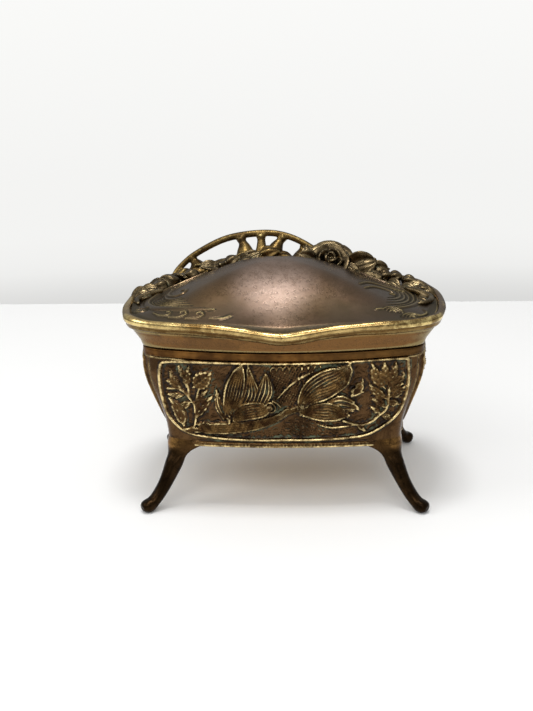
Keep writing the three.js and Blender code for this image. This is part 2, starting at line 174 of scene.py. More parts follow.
def lid_normal(x, y):
    step = 0.2
    across = (lid_top(x + step, y) - lid_top(x - step, y)) / (2 * step)
    along = (lid_top(x, y + step) - lid_top(x, y - step)) / (2 * step)
    normal = np.stack([-across, -along, np.ones_like(across)], axis=-1)
    return normal / np.linalg.norm(normal, axis=-1, keepdims=True)


# ---- Making and finishing pieces ----

def deselect():
    if bpy.context.mode != "OBJECT":
        bpy.ops.object.mode_set(mode="OBJECT")
    bpy.ops.object.select_all(action="DESELECT")


def take(name):
    """The primitive just added, under its own name."""
    piece = bpy.context.active_object
    piece.name = name
    piece.data.name = name
    return piece


def make_active(piece):
    deselect()
    piece.select_set(True)
    bpy.context.view_layer.objects.active = piece


def points_of(piece):
    raw = np.empty(len(piece.data.vertices) * 3, np.float32)
    piece.data.vertices.foreach_get("co", raw)
    return raw.reshape(-1, 3).astype(float)


def set_points(piece, points_mm):
    piece.data.vertices.foreach_set("co", (points_mm * MM).astype(np.float32).ravel())
    piece.data.update()


def face_outwards(piece):
    make_active(piece)
    bpy.ops.object.mode_set(mode="EDIT")
    bpy.ops.mesh.select_all(action="SELECT")
    bpy.ops.mesh.normals_make_consistent(inside=False)
    bpy.ops.object.mode_set(mode="OBJECT")


def smooth(piece):
    make_active(piece)
    bpy.ops.object.shade_smooth()


def shaped_sphere(name, around_steps, down_steps, place):
    """A closed shell: place turns shares round and down a sphere into points in millimetres."""
    deselect()
    bpy.ops.mesh.primitive_uv_sphere_add(segments=around_steps, ring_count=down_steps, radius=1)
    piece = take(name)
    x, y, z = points_of(piece).T
    set_points(piece, place((np.arctan2(y, x) / TURN) % 1, np.arccos(np.clip(z, -1, 1)) / math.pi))
    face_outwards(piece)
    smooth(piece)
    return piece


def shaped_ring(name, around_steps, section_steps, place):
    """A closed hoop: place turns shares round the hoop and round its section into points in millimetres."""
    deselect()
    bpy.ops.mesh.primitive_torus_add(major_segments=around_steps, minor_segments=section_steps,
                                     major_radius=1, minor_radius=0.25)
    piece = take(name)
    x, y, z = points_of(piece).T
    set_points(piece, place((np.arctan2(y, x) / TURN) % 1,
                            (np.arctan2(z, np.hypot(x, y) - 1) / TURN) % 1))
    face_outwards(piece)
    smooth(piece)
    return piece


def shaped_sheet(name, steps_u, steps_v, place, thickness=0.0):
    """A sheet: place turns shares across and up into points. A thickness is added behind it."""
    deselect()
    bpy.ops.mesh.primitive_grid_add(x_subdivisions=steps_u, y_subdivisions=steps_v, size=2)
    piece = take(name)
    x, y, _ = points_of(piece).T
    set_points(piece, place((x + 1) / 2, (y + 1) / 2))
    if thickness:
        make_active(piece)
        wall = piece.modifiers.new("wall", "SOLIDIFY")
        wall.thickness = thickness * MM
        wall.offset = -1
        bpy.ops.object.modifier_apply(modifier="wall")
    smooth(piece)
    return piece


def joined(name, pieces):
    deselect()
    for piece in pieces:
        piece.select_set(True)
    bpy.context.view_layer.objects.active = pieces[0]
    bpy.ops.object.join()
    return take(name)


def apply(piece, kind, **settings):
    make_active(piece)
    step = piece.modifiers.new("step", kind)
    for key, value in settings.items():
        setattr(step, key, value)
    bpy.ops.object.modifier_apply(modifier="step")


def cast_together(piece, voxel, passes=2):
    """Run loose overlapping shapes into one casting with soft inner corners."""
    apply(piece, "REMESH", mode="VOXEL", voxel_size=voxel * MM, adaptivity=0)
    apply(piece, "SMOOTH", factor=0.5, iterations=passes)
    smooth(piece)


def neighbour_mean(values, ends, count):
    total = np.zeros_like(values)
    for axis in range(values.shape[1]):
        total[:, axis] = (np.bincount(ends[:, 0], values[ends[:, 1], axis], count)
                          + np.bincount(ends[:, 1], values[ends[:, 0], axis], count))
    degree = np.bincount(ends.ravel(), minlength=count)
    return total / np.maximum(degree, 1)[:, None]


def mark_relief(piece, passes=8, scale=0.1):
    """Store on each point how far it stands above its surroundings, for the rubbing and the dirt."""
    mesh = piece.data
    points = points_of(piece)
    count = len(points)
    ends = np.empty(len(mesh.edges) * 2, np.int32)
    mesh.edges.foreach_get("vertices", ends)
    ends = ends.reshape(-1, 2)
    levelled = points.copy()
    for _ in range(passes):
        levelled = mix(levelled, neighbour_mean(levelled, ends, count), 0.7)
    normals = np.empty(count * 3, np.float32)
    mesh.vertices.foreach_get("normal", normals)
    height = np.einsum("ij,ij->i", points - levelled, normals.reshape(-1, 3)) / MM
    height = neighbour_mean(height[:, None], ends, count)[:, 0]
    store(piece, "relief", height / scale)


def store(piece, name, values):
    layer = piece.data.attributes.get(name) or piece.data.attributes.new(name, "FLOAT", "POINT")
    layer.data.foreach_set("value", np.asarray(values, np.float32))


def hand_in(piece, material, body, slot, *nodes):
    """Give a finished piece its material, the body it rides on and the nodes it stands for. The slot is not
    used.
    """
    piece.data.materials.clear()
    piece.data.materials.append(material)
    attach(piece, body)
    if nodes:
        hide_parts(*nodes)
    return piece


# ---- Finishes ----

def tone(red, green, blue):
    """A colour given as it looks, in shares of 255, turned into light values."""
    shares = [value / 255 for value in (red, green, blue)]
    return tuple(s / 12.92 if s <= 0.04045 else ((s + 0.055) / 1.055) ** 2.4 for s in shares) + (1.0,)


class Finish:
    """A material under construction, with short calls for the nodes that all of them share."""

    def __init__(self, name):
        self.material = bpy.data.materials.new(name)
        self.material.use_nodes = True
        self.tree = self.material.node_tree
        self.shader = self.tree.nodes["Principled BSDF"]
        self.place = self.node("ShaderNodeTexCoord").outputs["Object"]
        self.heights = []

    def node(self, kind, **settings):
        node = self.tree.nodes.new(kind)
        for key, value in settings.items():
            setattr(node, key, value)
        return node

    def feed(self, socket, value):
        if isinstance(value, bpy.types.NodeSocket):
            self.tree.links.new(value, socket)
        else:
            socket.default_value = value

    def attribute(self, name):
        return self.node("ShaderNodeAttribute", attribute_name=name).outputs["Fac"]

    def noise(self, scale, detail=4.0, roughness=0.6, distortion=0.0):
        node = self.node("ShaderNodeTexNoise")
        self.feed(node.inputs["Vector"], self.place)
        node.inputs["Scale"].default_value = scale
        node.inputs["Detail"].default_value = detail
        node.inputs["Roughness"].default_value = roughness
        node.inputs["Distortion"].default_value = distortion
        return node.outputs["Fac"]

    def cells(self, scale):
        node = self.node("ShaderNodeTexVoronoi")
        self.feed(node.inputs["Vector"], self.place)
        node.inputs["Scale"].default_value = scale
        return node.outputs["Distance"]

    def waves(self, direction, scale, distortion=0.0):
        node = self.node("ShaderNodeTexWave", bands_direction=direction)
        self.feed(node.inputs["Vector"], self.place)
        node.inputs["Scale"].default_value = scale
        node.inputs["Distortion"].default_value = distortion
        return node.outputs["Fac"]

    def sum(self, operation, first, second):
        node = self.node("ShaderNodeMath", operation=operation)
        self.feed(node.inputs[0], first)
        self.feed(node.inputs[1], second)
        return node.outputs[0]

    def between(self, value, low, high, to_low=0.0, to_high=1.0):
        """Turn low..high of a value into to_low..to_high, with soft ends."""
        node = self.node("ShaderNodeMapRange", interpolation_type="SMOOTHSTEP")
        self.feed(node.inputs["Value"], value)
        for name, number in (("From Min", low), ("From Max", high), ("To Min", to_low),
                             ("To Max", to_high)):
            node.inputs[name].default_value = number
        return node.outputs["Result"]

    def blend(self, share, first, second):
        node = self.node("ShaderNodeMix", data_type="RGBA")
        self.feed(node.inputs["Factor"], share)
        self.feed(node.inputs["A"], first)
        self.feed(node.inputs["B"], second)
        return node.outputs["Result"]

    def part(self, axis):
        """One of the object coordinates."""
        node = self.node("ShaderNodeSeparateXYZ")
        self.feed(node.inputs["Vector"], self.place)
        return node.outputs[axis]

    def bump(self, height, depth_mm):
        node = self.node("ShaderNodeBump")
        self.feed(node.inputs["Height"], height)
        node.inputs["Distance"].default_value = depth_mm * MM
        if self.heights:
            self.feed(node.inputs["Normal"], self.heights[-1])
        self.heights.append(node.outputs["Normal"])

    def done(self, colour, roughness, metallic=1.0, **steady):
        self.feed(self.shader.inputs["Base Color"], colour)
        self.feed(self.shader.inputs["Roughness"], roughness)
        self.feed(self.shader.inputs["Metallic"], metallic)
        for name, value in steady.items():
            self.shader.inputs[name.replace("_", " ")].default_value = value
        if self.heights:
            self.feed(self.shader.inputs["Normal"], self.heights[-1])
        return self.material


def aged_metal(name, field, second, rubbed, dirt, rub_at=(0.3, 1.3), dirt_at=(0.2, 1.1), verdigris=0.3,
               polish=(0.32, 0.52), patch_size=9.0, grain=1.0, ground=None, upper=None, right_painted_shade=None,
               low_rub=0.45,
               shading=0.0):
    """Cast metal: a patchy brown skin, gilding on what stands out, and dirt with verdigris in the hollows."""
    finish = Finish(name)
    relief = finish.attribute("relief")
    broad = finish.noise(1000 / patch_size, 5, 0.62, 0.4)
    small = finish.noise(620, 6, 0.7)
    fine = finish.noise(2600, 3, 0.6)
    skin = finish.blend(finish.between(broad, 0.36, 0.66), field, second)
    skin = finish.blend(finish.between(small, 0.52, 0.78, 0, 0.45), skin, dirt)
    if ground:
        # The ground tone colours what lies low: the sunk ground of a wall panel, and on the rim a painted
        # shade on the lower half of the bead, where the rubbing is also kept down.
        sunk_ground_and_painted_shade = finish.between(finish.attribute("depth"), 0.9, -0.3)
        skin = finish.blend(sunk_ground_and_painted_shade, skin, ground)
    if upper:
        skin = finish.blend(finish.between(finish.part("Z"), 0.022, 0.034), skin, upper)
    # Painted shade: darker towards the right end.
    if right_painted_shade:
        skin = finish.blend(finish.between(finish.part("X"), 0.02, 0.062), skin, right_painted_shade)
    blot = finish.between(finish.noise(310, 5, 0.7, 0.8), 0.5, 0.72, 0, 0.7)
    skin = finish.blend(blot, skin, dirt)
    shade = finish.between(finish.noise(75, 3, 0.55, 0.6), 0.5, 0.64, 0, shading)
    skin = finish.blend(shade, skin, dirt)
    uneven = finish.sum("MULTIPLY", finish.sum("SUBTRACT", small, 0.5), 2.4)
    edge = finish.sum("ADD", relief, uneven)
    worn = finish.between(finish.noise(190, 5, 0.7), 0.38, 0.6, 0.12, 1.0)
    rubbing = finish.sum("MULTIPLY", finish.between(edge, *rub_at), worn)
    if ground:
        rubbing = finish.sum("MULTIPLY", rubbing, finish.between(sunk_ground_and_painted_shade, 0.0, 0.9, 1.0, low_rub))
    hollow = finish.between(finish.sum("SUBTRACT", uneven, relief), *dirt_at)
    colour = finish.blend(rubbing, skin, rubbed)
    colour = finish.blend(finish.sum("MULTIPLY", hollow, 0.85), colour, dirt)
    green_patch = finish.between(finish.noise(170, 4, 0.6), 0.5, 0.68, 0, verdigris)
    colour = finish.blend(finish.sum("MULTIPLY", hollow, green_patch), colour, tone(112, 122, 96))
    specks = finish.between(finish.cells(950), 0.0, 0.16, 0.5, 0)
    speck_patch = finish.between(finish.noise(90, 3, 0.5), 0.5, 0.7)
    colour = finish.blend(finish.sum("MULTIPLY", specks, speck_patch), colour, tone(46, 30, 18))
    roughness = finish.between(small, 0.3, 0.75, *polish)
    roughness = finish.sum("ADD", roughness, finish.sum("MULTIPLY", hollow, 0.22))
    roughness = finish.sum("SUBTRACT", roughness, finish.sum("MULTIPLY", rubbing, 0.08))
    metallic = finish.between(hollow, 0.1, 1.0, 1.0, 0.55)
    finish.bump(small, 0.07 * grain)
    finish.bump(fine, 0.03 * grain)
    return finish.done(colour, roughness, metallic)


GOLD = tone(206, 178, 118)
PALE_GOLD = tone(232, 208, 142)
SOOT = tone(34, 22, 12)

panel_bronze = aged_metal("panel_bronze", tone(56, 37, 21), tone(112, 86, 50), tone(238, 212, 152),
                          tone(30, 20, 12),
                          rub_at=(1.0, 2.8), dirt_at=(0.5, 1.9), verdigris=0.7, polish=(0.2, 0.4),
                          patch_size=5, ground=tone(86, 63, 40), shading=0.6)
side_bronze = aged_metal("side_bronze", tone(66, 46, 27), tone(116, 88, 52), tone(224, 196, 138),
                         tone(30, 20, 12),
                         rub_at=(1.0, 2.8), dirt_at=(0.5, 1.9), verdigris=0.7, polish=(0.22, 0.42),
                         patch_size=6, ground=tone(80, 58, 36), shading=0.5)
# On the rim the ground tone is painted shade on the bead's lower half, and the right end is painted darker as
# shade.
rim_gilt = aged_metal("rim_gilt", GOLD, tone(122, 94, 52), PALE_GOLD, tone(58, 38, 17), rub_at=(0.4, 1.3),
                      dirt_at=(0.7, 1.6), verdigris=0.2, polish=(0.17, 0.34), patch_size=15, grain=0.8,
                      ground=tone(80, 57, 30), right_painted_shade=tone(106, 80, 44), low_rub=0.15)
crest_gilt = aged_metal("crest_gilt", tone(130, 107, 63), tone(78, 61, 36), tone(232, 210, 142),
                        tone(48, 32, 18), rub_at=(0.5, 1.8), dirt_at=(0.3, 1.2), verdigris=0.5,
                        polish=(0.28, 0.46))
flower_bronze = aged_metal("flower_bronze", tone(76, 64, 46), tone(118, 103, 75), tone(224, 206, 158),
                           tone(28, 23, 15), rub_at=(0.8, 2.3), dirt_at=(0.15, 1.0), verdigris=1.0,
                           polish=(0.2, 0.4), patch_size=6)
leg_bronze = aged_metal("leg_bronze", tone(32, 22, 12), tone(52, 37, 21), tone(132, 98, 54),
                        tone(18, 12, 7),
                        rub_at=(0.9, 2.6), dirt_at=(0.3, 1.4), verdigris=0.15, polish=(0.24, 0.42),
                        upper=tone(84, 60, 33))


def satin_dome():
    """The lid's smooth top: a pinkish brown satin skin with dark specks, greener towards the grooves, with a
    painted highlight on the crown and painted shade towards the sides, the back and the gutter.
    """
    finish = Finish("dome_bronze")
    relief = finish.attribute("relief")
    broad = finish.noise(38, 4, 0.6, 0.5)
    small = finish.noise(520, 6, 0.72)
    skin = finish.blend(finish.between(broad, 0.35, 0.68), tone(106, 86, 70), tone(84, 68, 50))
    # Painted highlight: the crown is painted a paler pink.
    aside = finish.sum("ADD", finish.part("X"), 0.004)
    ahead = finish.sum("MULTIPLY", finish.sum("ADD", finish.part("Y"), 0.013), 0.8)
    away = finish.sum("ADD", finish.sum("MULTIPLY", aside, aside), finish.sum("MULTIPLY", ahead, ahead))
    crown = finish.between(finish.sum("SQRT", away, 0.0), 0.024, 0.006)
    skin = finish.blend(finish.sum("MULTIPLY", crown, 0.75), skin, tone(158, 137, 125))
    leftwards = finish.between(finish.part("X"), -0.018, -0.04)
    skin = finish.blend(finish.sum("MULTIPLY", leftwards, 0.45), skin, tone(134, 106, 68))
    # Painted shade: the dome is painted darker towards its sides and its back.
    outer = finish.between(finish.sum("ABSOLUTE", finish.part("X"), 0.0), 0.03, 0.052)
    skin = finish.blend(finish.sum("MULTIPLY", outer, 0.75), skin, tone(74, 65, 52))
    rearward_painted_shade = finish.between(finish.part("Y"), -0.002, 0.02)
    skin = finish.blend(finish.sum("MULTIPLY", rearward_painted_shade, 0.6), skin, tone(74, 60, 50))
    cloud = finish.between(finish.noise(210, 5, 0.65), 0.42, 0.75, 0, 0.4)
    skin = finish.blend(cloud, skin, tone(98, 76, 58))
    # Below the rim the skirt keeps a browner gilding.
    stain = finish.between(finish.noise(48, 5, 0.6), 0.5, 0.62)
    skirt_skin = finish.blend(stain, tone(122, 88, 48), tone(66, 50, 30))
    lower_half = finish.between(finish.part("Z"), 0.0812, 0.0796)
    skirt_skin = finish.blend(finish.sum("MULTIPLY", lower_half, 0.7), skirt_skin, tone(114, 82, 50))
    skin = finish.blend(finish.between(finish.part("Z"), 0.0848, 0.0832), skin, skirt_skin)
    uneven = finish.sum("MULTIPLY", finish.sum("SUBTRACT", small, 0.5), 1.4)
    hollow = finish.between(finish.sum("SUBTRACT", uneven, relief), 0.2, 0.9)
    ridge = finish.between(finish.sum("ADD", uneven, relief), 0.5, 1.9)
    frontward = finish.between(finish.part("Y"), -0.022, -0.03)
    carved_end = finish.between(finish.sum("ABSOLUTE", finish.part("X"), 0.0), 0.012, 0.024, 0, 0.45)
    carved_end = finish.sum("MULTIPLY", carved_end, finish.between(finish.part("Z"), 0.0842, 0.0848))
    hollow = finish.sum("MAXIMUM", hollow, finish.sum("MULTIPLY", frontward, carved_end))
    # The gutter inside the rim is painted dark: verdigris, and painted shade that also dulls the highlight on
    # its slope.
    hollow = finish.sum("MAXIMUM", hollow, finish.between(finish.attribute("depth"), 0.1, 0.8, 0, 0.85))
    colour = finish.blend(finish.sum("MULTIPLY", hollow, 0.9), skin, tone(48, 44, 28))
    colour = finish.blend(finish.sum("MULTIPLY", ridge, 0.75), colour, tone(150, 134, 92))
    specks = finish.between(finish.cells(620), 0.02, 0.2, 0.75, 0)
    speck_patch = finish.between(finish.noise(70, 3, 0.6), 0.42, 0.6)
    colour = finish.blend(finish.sum("MULTIPLY", specks, speck_patch), colour, tone(52, 38, 28))
    pores = finish.between(finish.noise(1500, 2, 0.5), 0.58, 0.7, 0, 0.45)
    colour = finish.blend(pores, colour, tone(70, 54, 42))
    roughness = finish.between(small, 0.3, 0.75, 0.25, 0.37)
    roughness = finish.sum("ADD", roughness, finish.sum("MULTIPLY", hollow, 0.3))
    finish.bump(small, 0.035)
    finish.bump(finish.noise(60, 3, 0.5), 0.12)
    return finish.done(colour, roughness, finish.between(hollow, 0, 1, 1.0, 0.7))


def red_band():
    """The plain strip at the mouth: a redder metal, darker in the groove along it, rubbed bright in patches,
    painted darker towards the right as shade.
    """
    finish = Finish("mouth_bronze")
    small = finish.noise(480, 6, 0.7)
    broad = finish.noise(55, 4, 0.6)
    colour = finish.blend(finish.between(broad, 0.38, 0.64), tone(132, 92, 46), tone(78, 52, 27))
    # Painted shade: darker towards the right.
    rightwards_painted_shade = finish.between(finish.part("X"), 0.0, 0.05)
    colour = finish.blend(finish.sum("MULTIPLY", rightwards_painted_shade, 0.6), colour, tone(84, 62, 34))
    colour = finish.blend(finish.between(small, 0.55, 0.8, 0, 0.6), colour, tone(44, 28, 15))
    hollow = finish.between(finish.attribute("relief"), -0.2, -1.0)
    colour = finish.blend(finish.sum("MULTIPLY", hollow, 0.8), colour, SOOT)
    finish.bump(small, 0.05)
    return finish.done(colour, finish.between(small, 0.3, 0.75, 0.34, 0.52), 1.0)


def woven_silk(name, light, dark):
    """Silk in a fine plain weave with slubs, soft sheen across it."""
    finish = Finish(name)
    warp = finish.sum("MAXIMUM", finish.waves("X", 900, 0.35), finish.waves("Z", 900, 0.35))
    weft = finish.waves("Y", 900, 0.35)
    weave = finish.sum("MULTIPLY", warp, weft)
    slub = finish.noise(260, 4, 0.7, 0.6)
    wear = finish.noise(35, 4, 0.6)
    colour = finish.blend(finish.between(slub, 0.35, 0.7), light, dark)
    colour = finish.blend(finish.between(weave, 0.1, 0.8, 0.22, 0), colour, tone(96, 44, 36))
    colour = finish.blend(finish.between(wear, 0.5, 0.75, 0, 0.3), colour, tone(222, 188, 158))
    finish.bump(weave, 0.05)
    finish.bump(slub, 0.08)
    material = finish.done(colour, finish.between(slub, 0.3, 0.7, 0.42, 0.62), 0.0)
    finish.shader.inputs["Sheen Weight"].default_value = 0.5
    finish.shader.inputs["Sheen Roughness"].default_value = 0.4
    return material


def paper_card():
    finish = Finish("card_grey")
    fibre = finish.noise(900, 5, 0.75, 1.2)
    stain = finish.noise(45, 4, 0.6)
    colour = finish.blend(finish.between(fibre, 0.3, 0.7), tone(186, 172, 146), tone(164, 148, 120))
    colour = finish.blend(finish.between(stain, 0.5, 0.75, 0, 0.5), colour, tone(140, 116, 84))
    finish.bump(fibre, 0.05)
    return finish.done(colour, finish.between(fibre, 0.3, 0.7, 0.8, 0.95), 0.0)


def plain_metal(name, bright, dull, roughness, line_scale=0):
    """Sheet or turned metal with fine working marks and a tarnished film."""
    finish = Finish(name)
    film = finish.noise(120, 5, 0.65, 0.3)
    marks = finish.noise(1500, 3, 0.6)
    colour = finish.blend(finish.between(film, 0.38, 0.66), bright, dull)
    colour = finish.blend(finish.between(marks, 0.6, 0.8, 0, 0.35), colour, SOOT)
    if line_scale:
        finish.bump(finish.waves("X", line_scale, 2.0), 0.012)
    finish.bump(marks, 0.03)
    return finish.done(colour, finish.between(film, 0.3, 0.7, roughness, roughness + 0.16), 1.0)


dome_bronze = satin_dome()
mouth_bronze = red_band()
rose_silk = woven_silk("rose_silk", tone(196, 132, 112), tone(168, 98, 84))
gimp_gold = plain_metal("gimp_gold", tone(214, 178, 112), tone(160, 122, 70), 0.4)
sheet_brass = plain_metal("sheet_brass", tone(206, 170, 98), tone(146, 112, 62), 0.3, line_scale=160)
hinge_brass = plain_metal("hinge_brass", tone(150, 118, 70), tone(96, 72, 42), 0.34)
pin_steel = plain_metal("pin_steel", tone(168, 166, 160), tone(112, 108, 102), 0.28)
lining_card = paper_card()


# ---- Relief: heights drawn on a flat sheet, across and up, in millimetres ----

CURVE_STEPS = 7


def flowing(points):
    """A smooth curve through the points."""
    points = np.array(points, float)
    ends = np.vstack([2 * points[0] - points[1], points, 2 * points[-1] - points[-2]])
    curve = []
    for a, b, c, d in zip(ends[:-3], ends[1:-2], ends[2:-1], ends[3:]):
        for t in np.linspace(0, 1, CURVE_STEPS, endpoint=False):
            curve.append(0.5 * (2 * b + (c - a) * t + (2 * a - 5 * b + 4 * c - d) * t ** 2
                                + (3 * b - a - 3 * c + d) * t ** 3))
    return np.array(curve + [points[-1]])


def spaced(points, count):
    """The same curve as a number of evenly spaced points."""
    lengths = np.r_[0, np.cumsum(np.linalg.norm(np.diff(points, axis=0), axis=1))]
    marks = np.linspace(0, lengths[-1], count)
    return np.stack([np.interp(marks, lengths, column) for column in points.T], axis=-1)


def nearest_on(path, x, z):
    """Distance to a path, share along it, and the side of it, for every point."""
    distance = np.full(x.shape, np.inf)
    share = np.zeros(x.shape)
    side = np.ones(x.shape)
    lengths = np.linalg.norm(np.diff(path, axis=0), axis=1)
    total, start = lengths.sum(), 0.0
    for a, b, length in zip(path[:-1], path[1:], lengths):
        if length == 0:
            continue
        ux, uz = (b - a) / length
        t = np.clip((x - a[0]) * ux + (z - a[1]) * uz, 0, length)
        dx, dz = x - a[0] - t * ux, z - a[1] - t * uz
        d = np.hypot(dx, dz)
        closer = d < distance
        distance = np.where(closer, d, distance)
        share = np.where(closer, (start + t) / total, share)
        side = np.where(closer, np.where(ux * dz - uz * dx >= 0, 1.0, -1.0), side)
        start += length
    return distance, share, side


RAIL_TOP = 31.0
BEAD_ROW, BEAD_PITCH = 30.0, 1.5


class Relief:
    """Heights over a sheet, drawn with strokes, petals and leaves."""

    def __init__(self, x, z):
        self.x, self.z = x, z
        self.height = np.zeros(x.shape)

    def around(self, path, margin):
        low, high = path.min(axis=0) - margin, path.max(axis=0) + margin
        return (self.x > low[0]) & (self.x < high[0]) & (self.z > low[1]) & (self.z < high[1])

    def stroke(self, points, width, height, taper=0.0, over=False):
        """A round-backed line, pointed at its ends where taper is 1. A negative height cuts a groove."""
        path = flowing(points)
        near = self.around(path, width)
        distance, share, _ = nearest_on(path, self.x[near], self.z[near])
        half = width / 2 * np.maximum(1 - taper * np.abs(2 * share - 1) ** 2.5, 0.05)
        back = np.sqrt(np.clip(1 - (distance / half) ** 2, 0, 1))
        if height < 0 or over:
            self.height[near] += height * back
        else:
            ground = self.height[near]
            self.height[near] = mix(ground, np.maximum(ground, height), back)

    def lobe(self, first_edge, second_edge, height, ribs=0, veins=0, cup=0.5, raised=0.2):
        """A petal or leaf between two edges, both drawn from its base to its tip, laid over what is there."""
        first, second = (spaced(flowing(edge), 24) for edge in (first_edge, second_edge))
        spine = (first + second) / 2
        halves = np.linalg.norm(first - second, axis=1) / 2 + 0.05
        near = self.around(np.vstack([first, second]), 0.6)
        distance, share, side = nearest_on(spine, self.x[near], self.z[near])
        along = np.r_[0, np.cumsum(np.linalg.norm(np.diff(spine, axis=0), axis=1))]
        across = distance / np.interp(share, along / along[-1], halves)
        crown = mix(1 - across ** 2, across ** 2, cup)
        shape = height * (0.6 + 0.4 * crown)
        if ribs:
            shape = shape - 0.4 + 0.95 * np.abs(np.cos(side * across * math.pi * ribs / 2)) ** 3
        if veins:
            shape = shape + 0.45 * (0.5 + 0.5 * np.cos(TURN * (share * veins - across * 1.3))) ** 4
            shape = shape + 0.45 * bell(distance, 0.35)
            across = across * (1 + 0.2 * np.abs(np.cos(math.pi * (share * veins - 0.2))))
        shape = shape + raised * bell(across - 0.9, 0.13)
        cover = smoothstep(-across, -1.02, -0.9)
        self.height[near] = mix(self.height[near], shape, cover)

    def leaf(self, base, tip, width, height, bend=0.0, veins=4, **more):
        base, tip = np.array(base, float), np.array(tip, float)
        forward = tip - base
        across = np.array([-forward[1], forward[0]]) / np.linalg.norm(forward)
        spine = [base + forward * t + across * bend * 4 * t * (1 - t) for t in (0, 0.3, 0.65, 1)]
        swell = (0.12, 0.95, 0.8, 0.03)
        edges = [[p + across * way * width / 2 * s for p, s in zip(spine, swell)] for way in (1, -1)]
        self.lobe(*edges, height, veins=veins, **more)

    def curl(self, centre, radius, turns, width, height, start=0.0, way=1):
        steps = np.linspace(0, 1, 14)
        angles = start + way * TURN * turns * steps
        reach = radius * (1 - 0.85 * steps)
        self.stroke(np.stack([centre[0] + reach * np.cos(angles), centre[1] + reach * np.sin(angles)],
                             axis=-1),
                    width, height)

    def within(self, outline, soft=0.4):
        """A soft mask that is 1 inside a closed outline drawn counter-clockwise."""
        path = np.array(outline + outline[:1], float)
        mask = np.zeros(self.x.shape)
        near = self.around(path, soft)
        distance, _, side = nearest_on(path, self.x[near], self.z[near])
        mask[near] = smoothstep(distance * side, -soft, soft)
        return mask

    def add(self, mask, pattern):
        self.height += mask * pattern

    def rail(self, outer, inner, height):
        """A flat rail along the wall's foot with a groove over it, fading out between two ends."""
        kept = smoothstep(-np.abs(self.x), outer, inner)
        self.add(smoothstep(-self.z, -RAIL_TOP - 0.6, -RAIL_TOP) * kept, height)
        self.add(bell(self.z - RAIL_TOP - 0.9, 0.35) * kept, -height / 2)

    def beads(self, outer, inner, height):
        """A row of small beads along the rail."""
        row = np.maximum(np.cos(TURN * self.x / BEAD_PITCH), 0) * bell(self.z - BEAD_ROW, 0.55)
        self.add(smoothstep(-np.abs(self.x), outer, inner), height * row)


